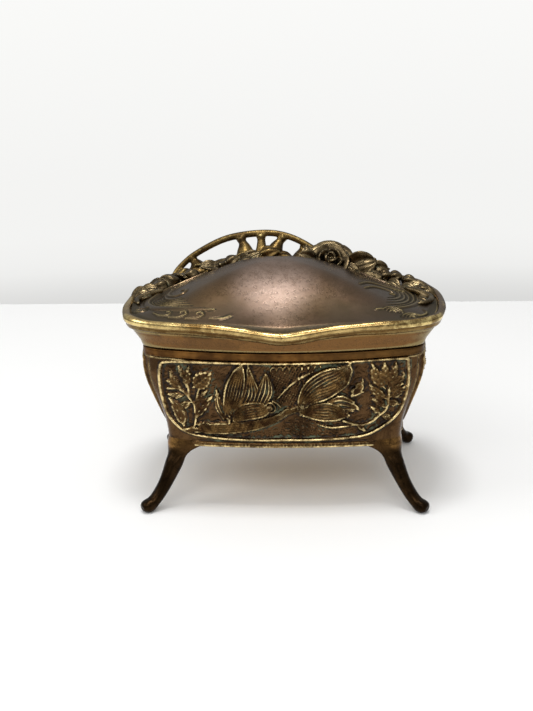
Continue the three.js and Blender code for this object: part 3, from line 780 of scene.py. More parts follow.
def front_relief(x, z):
    """Two lilies on one winding stem, a young plant at each end, and a strip of lace between the flowers."""
    panel = Relief(x, z)
    border = [(0, 69), (-25, 68.9), (-49.5, 68), (-53, 65), (-53.6, 59.7), (-53, 53), (-51, 45),
              (-48.8, 41), (-44.5, 37),
              (-40, 35), (-32.6, 33.8), (-24, 33.1), (-11, 32.8), (2.7, 33), (11, 32.9), (28, 33.5),
              (37, 35),
              (44.6, 39.3), (49.7, 44), (52.7, 51), (53.9, 58), (53.8, 66), (51, 69), (25, 69.2), (0, 69)]
    sunk = panel.within(border, 0.8)
    panel.add(sunk, -0.55)
    hatch = [(-2, 34.4), (24, 34.6), (24, 41), (9, 44.4), (0, 41)]
    panel.add(panel.within(hatch), 0.28 * np.sin(TURN * (x * 0.45 + z + 0.3 * np.sin(1.7 * x)) / 1.5))
    lace = [(-6, 66.4), (-3, 58), (-1.5, 50.4), (5, 48), (12, 56), (17.5, 66), (16, 68.2), (0.8, 68.2)]
    cells = np.cos(TURN * (x + 0.35 * z) / 1.7) * np.cos(TURN * (z - 0.3 * x) / 1.55)
    panel.add(panel.within(lace, 0.7), 0.5 - 0.75 * smoothstep(cells, 0.0, 0.6))
    for left in np.arange(-5, 14, 2.7):
        top = 66.6 + 0.06 * left
        panel.stroke([(left, top - 0.6), (left + 0.5, top + 0.7), (left + 1.35, top + 1.1),
                      (left + 2.2, top + 0.7),
                      (left + 2.7, top - 0.6)], 0.7, 0.75)
    for step in range(3):
        panel.stroke([(-3 + 2.4 * step, 52 + 2.6 * step), (2 + 2 * step, 58 + 2 * step),
                      (9 + 2 * step, 63 + step)],
                     0.8, 0.75, taper=0.4)
    wander = np.sin(0.9 * x + 1.3 * np.sin(0.7 * z)) + np.sin(1.1 * z - 0.6 * x)
    panel.add(panel.within(border, 0.8), 0.2 * np.sin(3.1 * wander + 1.7 * x))

    panel.stroke([(-43.8, 37), (-38.8, 39), (-38.4, 47.8), (-40.7, 52), (-44.5, 55.7), (-50.3, 55.7)],
                 1.3, 0.9)
    panel.stroke([(-38.4, 45), (-37.5, 52), (-35.5, 58)], 1.1, 0.8)
    panel.stroke([(-40.7, 52), (-41, 58), (-41.5, 64)], 1.0, 0.8)
    panel.leaf((-38.6, 57), (-30.4, 64.4), 9, 0.6, veins=6, raised=0.35)
    for base, tip, width, bend in (((-44, 55), (-48.8, 64), 3.6, 0.6), ((-44, 56), (-51, 59.6), 3, -0.4),
                                   ((-43, 53), (-50.6, 53.2), 3, 0.5),
                                   ((-40, 50), (-46.4, 48.4), 3.4, 0.8),
                                   ((-41.5, 57), (-40.2, 66.8), 4.2, 0.5),
                                   ((-41.5, 60), (-45, 66.8), 3, 0.3),
                                   ((-38, 42.5), (-30, 53.5), 5.2, 1.1),
                                   ((-43.4, 38), (-49.9, 52), 5.4, -1.0),
                                   ((-38, 39.5), (-30.5, 40.5), 2.6, -0.5),
                                   ((-37.8, 49), (-32.2, 56.4), 3, 0.5)):
        panel.leaf(base, tip, width * 1.1, 0.55, bend, raised=0.35)

    panel.lobe([(-43, 37.4), (-32.6, 39.4), (-29.6, 40.9), (-23.4, 41.2), (-11, 42.9), (-3.4, 45.2),
                (1.6, 48.4)],
               [(-42, 36.3), (-34, 35.4), (-26.5, 35.2), (-18.8, 35.9), (-11, 37.6), (-3.4, 40.8),
                (2.9, 45.4)],
               1.15, ribs=6, cup=0.15)
    panel.lobe([(1, 47), (4.4, 48.9), (8, 50.2)], [(2, 44.6), (5.5, 45.9), (9.2, 46.6)], 1.2, ribs=4,
               cup=0.2)

    for hollow in ([(-15, 62), (-12, 53), (-7, 51), (-5, 57), (-8, 62)], [(17, 50.5), (24, 53), (29, 50)],
                   [(30, 57), (33, 52), (31, 45)], [(-22, 64), (-27, 58), (-27.5, 50)],
                   [(14, 66), (22, 67), (29, 68)]):
        panel.stroke(hollow, 5.5, -0.35, taper=0.6)
    panel.lobe([(-26.5, 43), (-29.4, 49), (-28.8, 56.6)], [(-24, 43.5), (-26, 49), (-28, 56.2)], 0.9,
               ribs=2)
    panel.lobe([(-19.5, 47.5), (-15.8, 58), (-14.8, 68.4)],
               [(-15.5, 46.5), (-9.6, 53.5), (-12, 62), (-14.2, 68.2)],
               1.0, ribs=5)
    panel.lobe([(-13, 49), (-10.8, 57), (-7.4, 64.8)], [(-8, 49.5), (-4.2, 56), (-5.2, 62), (-6.8, 64.6)],
               1.0, ribs=4)
    panel.lobe([(-21.5, 46.4), (-17, 50.6), (-11, 51), (-6.2, 49.4)],
               [(-20, 41.6), (-15, 42.4), (-7.3, 44.3), (-4.6, 47.6)], 1.35, ribs=7)
    panel.lobe([(-23.8, 40.6), (-26.2, 48.5), (-25.3, 57.3), (-23.4, 62.2), (-20.7, 66.2), (-17.2, 68.9)],
               [(-22.6, 40.8), (-22, 45.6), (-18.6, 49.7), (-16.3, 54), (-15.3, 59.8), (-15.7, 65),
                (-16.9, 68.7)],
               1.6, ribs=8, cup=0.2, raised=0.35)
    panel.curl((-5.4, 48.2), 2.9, 1.6, 0.9, 1.3, start=2.6, way=-1)
    panel.stroke([(-4.4, 51.6), (-2.4, 50.6), (-0.8, 48.8)], 0.9, 1.0)

    panel.lobe([(18, 50.5), (24.5, 53.8), (29.8, 51)], [(18, 47), (24.5, 45.4), (30.4, 45.6)], 1.0,
               ribs=4)
    panel.lobe([(7.6, 47.6), (13.5, 50.4), (20, 51), (24, 48.9), (28.2, 45.4)],
               [(8.6, 44.6), (13, 42.8), (17.8, 41.5), (23, 41.6), (27.4, 43.4)], 1.35, ribs=7)
    panel.lobe([(6.4, 49.5), (6.9, 55), (8.8, 60.2), (13.5, 64), (20, 65.6), (25, 67), (28.8, 69)],
               [(8.6, 47.4), (13.5, 50.6), (20, 53), (25, 56), (28.8, 59.4), (30, 64), (29.4, 68.6)],
               1.6, ribs=9, cup=0.2, raised=0.35)
    panel.lobe([(9, 52.5), (14, 57.5), (21, 59.5), (26.5, 62)],
               [(9.4, 50), (15, 52.8), (21.5, 55.2), (26.5, 60)],
               1.9, ribs=4, cup=0.1)
    for base, tip, width, bend in (((29, 55), (34.8, 61), 3, -1.2), ((29, 53), (35.4, 55), 2.6, 0.8),
                                   ((28.6, 49), (33, 46), 2.6, 0.7)):
        panel.leaf(base, tip, width, 1.0, bend, veins=0)
    panel.curl((32.6, 57.6), 2.2, 1.2, 0.8, 1.2, start=-1.2)

    panel.stroke([(26, 41.6), (32.7, 39.4), (37.8, 40.4), (41, 43), (44.6, 46.4), (45.6, 53), (45, 60)],
                 1.5, 1.1)
    panel.stroke([(14, 40.6), (20, 38.6), (26, 38.8), (32, 39.6)], 1.2, 0.9, taper=0.8)
    for base, tip, width, bend in (((44, 56), (38.4, 68), 5.4, 0.9), ((45, 57), (43.6, 68.4), 4.6, 0.2),
                                   ((45.4, 56), (49, 67.8), 4.6, -0.3),
                                   ((45.6, 54), (52.6, 62.6), 4.6, -0.7),
                                   ((45.6, 52), (53, 56.4), 4, -0.8),
                                   ((44.8, 49), (50.4, 47.6), 3.6, 0.5),
                                   ((44, 47), (38.2, 51.6), 3.8, -0.6), ((42, 44), (37.4, 47.8), 3, -0.4),
                                   ((42.6, 43), (47.4, 41.4), 3.2, 0.4),
                                   ((44.6, 51), (37, 58.8), 4.2, 0.5),
                                   ((32, 39), (36, 36), 2.4, 0.3)):
        panel.leaf(base, tip, width * 1.1, 0.55, bend, veins=5, raised=0.35)

    panel.stroke(border, 1.5, 1.15)
    panel.rail(-42, -36, 0.7)
    panel.beads(-37, -35, 0.55)
    return panel.height


def spray(panel, centre, way):
    """One lily with its stem and leaves, as on the walls that don't face front."""
    def at(across, up):
        return centre + way * across, up

    panel.stroke([at(-16, 36), at(-9, 35.4), at(0, 38), at(6, 43)], 1.8, 1.1)
    panel.lobe([at(5, 42), at(3.2, 51), at(6, 60), at(13, 66.5)],
               [at(6.6, 41.6), at(10, 49), at(13.6, 57), at(13.6, 66)],
               1.4, ribs=7, cup=0.2, raised=0.3)
    panel.lobe([at(7.4, 46), at(13, 50), at(19, 48.6)], [at(7, 41.4), at(13, 41.6), at(19.4, 44.8)], 1.2,
               ribs=5)
    panel.lobe([at(2.6, 45), at(-1.6, 52), at(-1.4, 58.6)], [at(4.4, 45), at(2, 52), at(-0.6, 58.4)], 0.9,
               ribs=3)
    for base, tip, width, bend in (((-9, 36), (-16, 46), 4.6, 1.0), ((-7, 36.4), (-8.6, 50), 4.6, -0.8),
                                   ((-12, 44), (-18, 54), 4.2, 0.6), ((-9, 48), (-11, 62), 4.8, -0.6),
                                   ((-4, 38), (-3, 47), 3.2, 0.5), ((-13, 54), (-18.6, 64), 4.2, 0.5),
                                   ((-9.4, 56), (-4.6, 65.6), 4.4, 0.5)):
        panel.leaf(at(*base), at(*tip), width, 1.0, bend * way)


def sprig(panel, centre, way):
    """A small upright plant that fills the end of a panel."""
    panel.stroke([(centre, 37), (centre + way, 46), (centre, 56), (centre - way, 63)], 1.2, 0.8)
    for rise, tip, width in ((40, 5.4, 3.6), (44, 6.0, 4.0), (49, 5.6, 3.8), (54, 5.2, 3.6),
                             (58, 4.4, 3.2)):
        for side in (1, -1):
            panel.leaf((centre, rise + side), (centre + side * way * tip, rise + 5.4 + side), width, 0.6,
                       0.5 * side * way, raised=0.3)
    panel.leaf((centre - way, 61), (centre - way, 67.4), 3.4, 0.6)


def framed_relief(x, z, half, sprays, sprigs=(), plates=()):
    """A sunk panel in a bead border with sprays of lilies, on a wall of the given half length."""
    panel = Relief(x, z)
    low_half = half - 11
    border = [(0, 68.9), (3 - half, 68.6), (-half, 65), (-half, 55), (1.5 - half, 46), (5 - half, 39),
              (-low_half, 34.6), (-low_half / 2, 33.1), (0, 32.8), (low_half / 2, 33.1), (low_half, 34.6),
              (half - 5, 39), (half - 1.5, 46), (half, 55), (half, 65), (half - 3, 68.6), (0, 68.9)]
    panel.add(panel.within(border, 0.8), -0.5)
    for centre, way in sprays:
        spray(panel, centre, way)
    for centre, way in sprigs:
        sprig(panel, centre, way)
    panel.stroke(border, 1.5, 1.05)
    panel.rail(-low_half - 3, -low_half + 2, 0.6)
    panel.beads(-low_half - 3, -low_half, 0.5)
    # The wall is left plain behind each hinge plate.
    for centre in plates:
        panel.height *= 1 - smoothstep(z, 58, 60) * smoothstep(-np.abs(x - centre), -9.5, -8)
    return panel.height


# ---- Walls ----

CORNER_FRONT = math.atan2(-body_half_y * (1 - MOUTH_PLAN["bow_front"]),
                          body_half_x * (1 - MOUTH_PLAN["front"]))
CORNER_REAR = math.atan2(body_half_y * (1 - MOUTH_PLAN["bow_rear"]),
                         body_half_x * (1 - MOUTH_PLAN["rear"]))


def make_wall(name, node, start, end, steps_across, steps_up, relief, material):
    """A wall casting between two corner directions, with its relief raised on the outside only."""
    def place(u, v):
        angle = mix(start + 0.004, end - 0.004, u)
        return body_point(angle, mix(wall_low, wall_high, v))

    wall = shaped_sheet(name, steps_across, steps_up, place, thickness=WALL)
    points = points_of(wall) / MM
    outer = points[:(steps_across + 1) * (steps_up + 1)]
    angle, z = np.arctan2(outer[:, 1], outer[:, 0]), outer[:, 2]
    height = relief(outer, z)
    rim = np.minimum(smoothstep(np.minimum(z - wall_low, wall_high - z), 0, 0.3), 1)
    points[:len(outer)] = body_point(angle, z, height * rim)
    set_points(wall, points)
    mark_relief(wall, passes=7, scale=0.1)
    # The soldered corners are filed flush, so they are rubbed less than other edges.
    from_middle = np.abs(np.angle(np.exp(1j * (angle - (start + end) / 2))))
    filed = smoothstep((end - start) / 2 - from_middle, 0.006, 0.035)
    marks = np.empty(len(points), np.float32)
    wall.data.attributes["relief"].data.foreach_get("value", marks)
    marks[:len(outer)] *= mix(0.25, 1.0, filed)
    store(wall, "relief", marks)
    store(wall, "depth", np.r_[height, np.zeros(len(points) - len(outer))])
    hand_in(wall, material, "box", "chased_bronze", node)


def side_relief(points, z, way):
    """A side wall's panel, read from its front end where way is 1 and from its rear end where it is -1."""
    return framed_relief(way * (points[:, 1] - 2), z, 30, [(-4 * way, way)], [(23 * way, way)])


def rear_relief(points, z):
    return framed_relief(-points[:, 0], z, 53, [(14, 1), (-14, -1)], [(44, 1), (-44, -1)], (-30, 30))


make_wall("front_panel", "wall_front", -math.pi - CORNER_FRONT, CORNER_FRONT, 330, 115,
          lambda points, z: front_relief(points[:, 0], z), panel_bronze)
make_wall("right_panel", "wall_right", CORNER_FRONT, CORNER_REAR, 190, 110,
          lambda points, z: side_relief(points, z, 1), side_bronze)
make_wall("left_panel", "wall_left", math.pi - CORNER_REAR, math.pi - CORNER_FRONT, 190, 110,
          lambda points, z: side_relief(points, z, -1), side_bronze)
make_wall("rear_panel", "wall_rear", CORNER_REAR, math.pi - CORNER_REAR, 250, 90, rear_relief,
          side_bronze)


# ---- Mouth band and legs ----

def band_place(u, v):
    angle, around = TURN * u, TURN * v
    low, high = mouth_low, mouth_high - 0.25
    outwards, upwards = np.cos(around), np.sin(around)
    half_thick = (WALL + 0.5) / 2
    offset = 0.5 - half_thick + half_thick * np.sign(outwards) * np.abs(outwards) ** 0.35
    z = (low + high) / 2 + (high - low) / 2 * np.sign(upwards) * np.abs(upwards) ** 0.45
    outer = outwards > 0
    offset = offset - np.where(outer, 0.45 * bell(z - 71.1,
                                                  0.28) - 0.12 * np.sin(31 * angle) * bell(z - 72.4, 0.8),
                               0)
    mouth = body_point(angle, wall_high + 0 * angle, offset)
    return np.stack([mouth[..., 0], mouth[..., 1], z], axis=-1)


mouth = shaped_ring("mouth_strip", 420, 34, band_place)
mark_relief(mouth, passes=3, scale=0.12)
hand_in(mouth, mouth_bronze, "box", "red_bronze", "mouth_band")

# Each leg runs down and outwards from under its corner. Columns: how far out, height, depth, width.
LEG_STATIONS = np.array([
    [20.6, 1.9, 0.4, 0.4], [20.2, 2.0, 3.0, 3.8], [18.8, 2.5, 5.2, 6.2], [16.8, 3.0, 5.8, 6.4],
    [14.6, 4.4, 5.0, 6.0], [11.8, 7.2, 5.0, 6.2], [8.3, 12.0, 5.4, 6.8], [5.0, 17.8, 6.4, 8.0],
    [2.3, 23.4, 7.6, 9.6], [0.9, 28.0, 8.0, 11.0], [0.2, 34.6, 4.0, 9.0], [0.0, 36.0, 0.6, 6.0]])
LEG_X, LEG_Y = 46.0, 31.0
LEG_TURN = math.radians(35)
FOOT_CORNER = math.atan2(33.6, 50.9)
BRACKET_LOW, BRACKET_HIGH = 18.5, 29.5
REAR_SPLAY = 0.86


def leg_place(side_x, side_y):
    stations = spaced(flowing(LEG_STATIONS), 140)
    if side_y > 0:
        stations[:, 0] *= REAR_SPLAY
    marks = np.linspace(0, 1, len(stations))

    def place(u, v):
        share = 1 - v
        out, z, depth, width = (np.interp(share, marks, column) for column in stations.T)
        step = 0.01
        run = np.interp(share + step, marks, stations[:, 0]) - np.interp(share - step, marks,
                                                                         stations[:, 0])
        climb = np.interp(share + step, marks, stations[:, 1]) - np.interp(share - step, marks,
                                                                           stations[:, 1])
        length = np.hypot(run, climb) + 1e-6
        around = TURN * u
        front, across = np.cos(around), np.sin(around)
        turn = np.angle(np.exp(1j * around))
        swell = 0.5 * (1 + 0.16 * bell(turn, 0.3) * smoothstep(z, 5, 12)
                       - 0.08 * bell(np.abs(turn) - 0.75, 0.2) * smoothstep(z, 8, 16))
        forward = depth * swell * np.sign(front) * np.abs(front) ** 0.85
        sideways = width * swell * np.sign(across) * np.abs(across) ** 0.8
        reach = out + forward * climb / length
        height = np.maximum(z - forward * run / length, 0.0)
        x = LEG_X + reach * math.cos(LEG_TURN) - sideways * math.sin(LEG_TURN)
        y = LEG_Y + reach * math.sin(LEG_TURN) + sideways * math.cos(LEG_TURN)
        leg = np.stack([x, y, height], axis=-1)
        # Near the top the section opens into a curved bracket that hugs the corner of the walls.
        rise = np.clip((z - BRACKET_LOW) / (BRACKET_HIGH - BRACKET_LOW), 0, 1)
        half_turn = 0.075 + 0.17 * (1 - np.sqrt(1 - rise ** 2)) + 0.004 * rise
        sink = np.clip((z - 28.6) / 5.4, 0, 1)
        offset = mix(-0.75, -1.3, sink) + mix(1.5, 0.9, sink) * front
        angle = FOOT_CORNER + half_turn * np.sign(across) * np.abs(across) ** 0.8
        bracket = body_point(-angle, np.maximum(z, 29.0), offset)
        bracket = np.stack([bracket[..., 0], -bracket[..., 1], z], axis=-1)
        blend_share = smoothstep(z, 19, 28.5)[..., None]
        return mix(leg, bracket, blend_share) * np.array([side_x, side_y, 1])

    return place


for side_x, side_y, node in ((-1, -1, "leg_front_left"), (1, -1, "leg_front_right"),
                             (-1, 1, "leg_rear_left"), (1, 1, "leg_rear_right")):
    leg = shaped_sphere(node.replace("leg_", "cast_leg_"), 96, 170, leg_place(side_x, side_y))
    mark_relief(leg, passes=30, scale=0.3)
    hand_in(leg, leg_bronze, "box", "dark_bronze", node)


# ---- Lid shell ----

mouth_radius_from_peak = angle_table(
    plan_curve(body_half_x + 0.5, body_half_y + 0.5, MOUTH_PLAN), (PEAK_X, PEAK_Y))
SKIRT_Z = np.array([73.9, 76.6, 80.0, 83.0, 85.0])
SKIRT_FLARE = np.array([0.0, 0.22, 0.66, 0.96, 1.0])
LID_WALL = 2.2
# Shares of the way down the shell's section where the dome, the skirt, the lip and the inner skirt end.
DOME_END, SKIRT_END, LIP_END, INNER_SKIRT_END = 0.58, 0.74, 0.77, 0.87


def skirt_point(angle, level, inset=0.0):
    flare = np.interp(level, SKIRT_Z, SKIRT_FLARE)
    radius = mix(mouth_radius_from_peak(angle), lid_radius(angle), flare) - inset
    x, y = PEAK_X + radius * np.cos(angle), PEAK_Y + radius * np.sin(angle)
    return np.stack([x, y, level - front_droop(x, y) * flare * 0.85], axis=-1)


def dome_point(angle, share, inset=0.0):
    radius = (lid_radius(angle) - inset) * share
    x, y = PEAK_X + radius * np.cos(angle), PEAK_Y + radius * np.sin(angle)
    return np.stack([x, y, lid_top(x, y) - inset], axis=-1)


def lid_place(u, v):
    angle = TURN * u + math.pi / 2
    dome = dome_point(angle, np.clip(v / DOME_END, 0, 1) ** 0.85)
    down = np.clip((v - DOME_END) / (SKIRT_END - DOME_END), 0, 1)
    level = mix(85.0, lid_low, down)
    skirt = skirt_point(angle, level, -0.4 * bell(level - 81.6, 0.4))
    lip = np.clip((v - SKIRT_END) / (LIP_END - SKIRT_END), 0, 1)
    under = skirt_point(angle, lid_low + 0 * angle, LID_WALL * lip)
    up = np.clip((v - LIP_END) / (INNER_SKIRT_END - LIP_END), 0, 1)
    inside = skirt_point(angle, mix(lid_low, 83.6, up), LID_WALL)
    back = np.clip((1 - v) / (1 - INNER_SKIRT_END), 0, 1)
    ceiling = dome_point(angle, back * 0.999, LID_WALL)
    stages = [(v <= DOME_END, dome), (v <= SKIRT_END, skirt), (v <= LIP_END, under),
              (v <= INNER_SKIRT_END, inside)]
    return np.select([test[..., None] for test, _ in stages], [shape for _, shape in stages], ceiling)


def combed(field, outer, inner, count, width, depth):
    """Side by side grooves that run from one edge of a scroll to the other, like combed hair."""
    outer, inner = spaced(flowing(outer), 24), spaced(flowing(inner), 24)
    for i in range(count):
        share = i / (count - 1)
        field.stroke(mix(outer, inner, share)[::3], width, -depth * (1 - 0.25 * share), taper=0.8,
                     over=True)


def dome_relief(x, y):
    """The carving of the lid's shoulders: a combed scroll at each side, and small hooks along the rim."""
    field = Relief(x, y)
    field.stroke([(-36, 15), (-50.5, 9), (-59, -3), (-60, -12), (-56, -21), (-49, -25.5), (-39, -28.6),
                  (-29, -30)],
                 4.4, 0.7, taper=0.8)
    combed(field, [(-34.7, 15.4), (-50.2, 7.8), (-57.8, -3.2), (-58.9, -11.6), (-54.7, -19.9),
                   (-47.9, -24.3),
                   (-40.2, -27.6), (-31, -29)],
           [(-43.4, 5.1), (-51.5, 0.3), (-54.1, -6.4), (-51.4, -14.3), (-46.3, -17.5), (-41, -18.4)], 6,
           1.1, 1.0)
    field.stroke([(-44, 3.4), (-49.6, -1), (-51.6, -7), (-48.6, -12.6), (-44.6, -13.4), (-43, -10.4),
                  (-45, -8.2)],
                 1.5, 0.55)
    for hook in ([(-56, -27), (-53, -30.4), (-49.4, -31), (-48.2, -28.8), (-50, -27.6)],
                 [(-49, -33), (-44.6, -33.6), (-41.2, -31.6), (-42, -29.4), (-44, -30)],
                 [(-41.4, -35), (-36.4, -35), (-33.6, -32.8), (-35, -31), (-36.8, -31.8)],
                 [(-31, -35.6), (-25, -35.4), (-21, -33.4)]):
        field.stroke(hook, 1.3, 0.6, taper=0.6)
        field.stroke([(a + 0.5, b + 1.1) for a, b in hook[:-1]], 0.7, -0.4, taper=0.6)
    boss = np.hypot((x + 62.4) / 3.4, (y + 20.6) / 2.4)
    field.add(smoothstep(-boss, -1.3, -1.0), -0.7)
    field.add(smoothstep(-boss, -1, -0.4), 0.9)

    field.stroke([(33, 12), (46, 9), (56, 2), (58.6, -8), (56, -18), (49, -25), (40, -29)], 3.8, 0.6,
                 taper=0.8)
    combed(field, [(31, 13), (46, 10), (55.6, 3), (58.4, -8), (55.4, -18.4), (48.4, -25.4), (39, -29.4)],
           [(38, 3), (45, 2), (49.6, -3), (50.4, -9), (47, -15.6), (43, -18)], 5, 1.0, 0.8)
    for radius in (1.4, 2.8, 4.2):
        for centre, start in (((47.4, -29.5), 0.1), ((55.6, -33), 0.7)):
            sweep = np.linspace(start, start + 2.6, 9)
            ring = np.stack([centre[0] + radius * np.cos(sweep),
                             centre[1] + radius * 0.9 * np.sin(sweep)], axis=-1)
            field.stroke(ring, 0.9, 0.6, taper=0.4)
            field.stroke(ring * 1.0 + (ring - centre) / radius * 0.7, 0.6, -0.35)
    for path in ([(33.2, -11.4), (37, -5), (42, -2.2), (48, -1.4), (54.1, 0.8)],
                 [(35.4, -14), (39.4, -8.6), (44, -6.4), (48, -7), (49, -9.6), (46.6, -10.4)],
                 [(60.6, -22), (62, -26), (59, -30), (55, -30.6)]):
        field.stroke(path, 1.1, 0.5, taper=0.6)
        field.stroke([(a + 0.6, b - 0.9) for a, b in path], 0.7, -0.4, taper=0.6)
    return field.height


def select_faces(piece, wanted):
    """Select faces in edit mode by a test on their centres, in millimetres."""
    make_active(piece)
    bpy.context.tool_settings.mesh_select_mode = (False, False, True)
    bpy.ops.object.mode_set(mode="EDIT")
    bpy.ops.mesh.select_all(action="DESELECT")
    bpy.ops.object.mode_set(mode="OBJECT")
    centres = np.empty(len(piece.data.polygons) * 3, np.float32)
    piece.data.polygons.foreach_get("center", centres)
    chosen = wanted(*(centres.reshape(-1, 3).astype(float) / MM).T)
    piece.data.polygons.foreach_set("select", chosen)
    bpy.ops.object.mode_set(mode="EDIT")


def on_dome(x, y, z, limit=0.965):
    share = np.hypot(x - PEAK_X, y - PEAK_Y) / lid_radius(np.arctan2(y - PEAK_Y, x - PEAK_X))
    return (share < limit) & (z > lid_top(x, y) - 1.0)


dome = shaped_sphere("domed_lid", 390, 116, lid_place)
select_faces(dome, lambda x, y, z: on_dome(x, y, z) & (np.abs(x) > 27) & (y < 18) & (y > -39))
bpy.ops.mesh.subdivide(number_cuts=2)
bpy.ops.object.mode_set(mode="OBJECT")
points = points_of(dome) / MM
carved = on_dome(*points.T, limit=0.975)
x, y = points[carved, 0], points[carved, 1]
level = np.stack([x, y, lid_top(x, y)], axis=-1)
points[carved] = level + lid_normal(x, y) * (dome_relief(x, y) * smoothstep(-np.abs(x), -70, -66))[:,
                                                                                                   None]
set_points(dome, points)
face_outwards(dome)
smooth(dome)
mark_relief(dome, passes=6, scale=0.075)
points = points_of(dome) / MM
edge_share = np.hypot(points[:, 0] - PEAK_X, points[:, 1] - PEAK_Y)
edge_share /= lid_radius(np.arctan2(points[:, 1] - PEAK_Y, points[:, 0] - PEAK_X))
on_top = smoothstep(points[:, 2] - lid_top(points[:, 0], points[:, 1]), -1.0, -0.6)
# The gutter just inside the rim is marked for the finish, which paints it dark as verdigris and painted
# shade.
store(dome, "depth", smoothstep(edge_share, 0.9, 0.95) * on_top)
hand_in(dome, dome_bronze, "lid", "brown_bronze", "lid_shell")


def rim_place(u, v):
    """The lid's thick wavy edge, with a second, thinner bead just below it."""
    angle, around = TURN * u, TURN * v
    wave = 0.16 * np.sin(9 * angle + 1) + 0.1 * np.sin(23 * angle)
    radius = 2.05 + wave + 1.6 * bell(np.angle(np.exp(1j * (around + 1.45))), 0.3)
    radius = radius - 0.35 * bell(np.angle(np.exp(1j * (around + 0.95))), 0.18)
    reach = lid_radius(angle) - 0.15 + radius * np.cos(around)
    x, y = PEAK_X + reach * np.cos(angle), PEAK_Y + reach * np.sin(angle)
    edge = lid_radius(angle)
    droop = front_droop(PEAK_X + edge * np.cos(angle), PEAK_Y + edge * np.sin(angle))
    return np.stack([x, y, RIM_Z - droop + radius * np.sin(around) * 0.95], axis=-1)


rim = shaped_ring("gilt_rim", 520, 40, rim_place)
mark_relief(rim, passes=6, scale=0.14)
points = points_of(rim) / MM
edge_angle = np.arctan2(points[:, 1] - PEAK_Y, points[:, 0] - PEAK_X)
edge = lid_radius(edge_angle)
rim_line = RIM_Z - front_droop(PEAK_X + edge * np.cos(edge_angle), PEAK_Y + edge * np.sin(edge_angle))
# The lower half of the bead is marked as low lying, so that the finish paints shade on it.
store(rim, "depth", mix(-0.3, 1.0, smoothstep(points[:, 2] - rim_line, -2.1, -0.7)))
hand_in(rim, rim_gilt, "lid", "gilt_brass", "lid_rim_bead")


# ---- The arch and the flowers along the back of the lid ----

def tube(name, path, radii, along_steps=60, around_steps=18, square=1.0, up=(0, 0, 1)):
    """A rod along a path, with its radius given at even steps and rounded ends."""
    line = spaced(flowing(path), 80)
    marks = np.linspace(0, 1, len(line))
    tangents = np.gradient(line, axis=0)
    tangents /= np.linalg.norm(tangents, axis=1, keepdims=True)
    side = np.cross(tangents, np.array(up, float))
    side /= np.linalg.norm(side, axis=1, keepdims=True)
    top = np.cross(side, tangents)

    def place(u, v):
        at = [np.stack([np.interp(v, marks, column) for column in table.T], axis=-1) for table in (line,
                                                                                                   side,
                                                                                                   top)]
        radius = np.interp(v, np.linspace(0, 1, len(radii)), radii)
        radius = radius * np.sqrt(np.clip(1 - np.abs(2 * v - 1) ** 14, 0, 1))
        c, s = np.cos(TURN * u), np.sin(TURN * u)
        across = np.sign(c) * np.abs(c) ** square * radius
        height = np.sign(s) * np.abs(s) ** square * radius
        return at[0] + at[1] * across[..., None] + at[2] * height[..., None]

    return shaped_sphere(name, around_steps, along_steps, place)


def petal(base, grow, face, length, width, curl=0.8, lean=0.0, cup=0.25, thickness=1.15, blunt=0.45):
    """A curved leaf or petal that grows from its base, with its upper side towards a direction."""
    base = np.array(base, float)
    grow = np.array(grow, float) / np.linalg.norm(grow)
    face = np.array(face, float)
    face = face - grow * face.dot(grow)
    face /= np.linalg.norm(face)
    side = np.cross(grow, face)
    marks = np.linspace(0, 1, 40)
    angles = lean - curl * marks
    forward = np.cumsum(np.cos(angles)) / 40 * length
    rise = np.cumsum(np.sin(angles)) / 40 * length

    def place(u, v):
        across = 2 * u - 1
        half = width / 2 * (0.12 + 0.88 * np.sin(math.pi * np.clip(v, 0, 1) ** 0.8) ** blunt)
        lift = cup * half * across ** 2
        lift = lift + 0.16 * np.cos(9 * across) + 0.25 * bell(across, 0.12)
        out = np.interp(v, marks, forward)
        up = np.interp(v, marks, rise) + lift
        return base + grow * out[..., None] + face * up[..., None] + side * (half * across)[..., None]

    return shaped_sheet("petal", 22, 22, place, thickness=thickness)


def bud(centre, grow, length, width, folds=5, twist=0.8):
    """A closed bud with folds that wind round it."""
    centre = np.array(centre, float)
    grow = np.array(grow, float) / np.linalg.norm(grow)
    side = np.cross(grow, (0.3, 1.0, 0.2))
    side /= np.linalg.norm(side)
    other = np.cross(grow, side)

    def place(u, v):
        around = TURN * u
        radius = width / 2 * np.sin(math.pi * v) ** 0.75 * (1 - 0.25 * v)
        radius = radius * (1 + 0.13 * np.cos(folds * around + twist * 6 * v))
        along = length * (v - 0.5)
        return (centre + grow * along[..., None] + side * (radius * np.cos(around))[..., None]
                + other * (radius * np.sin(around))[..., None])

    return shaped_sphere("bud", 40, 28, place)


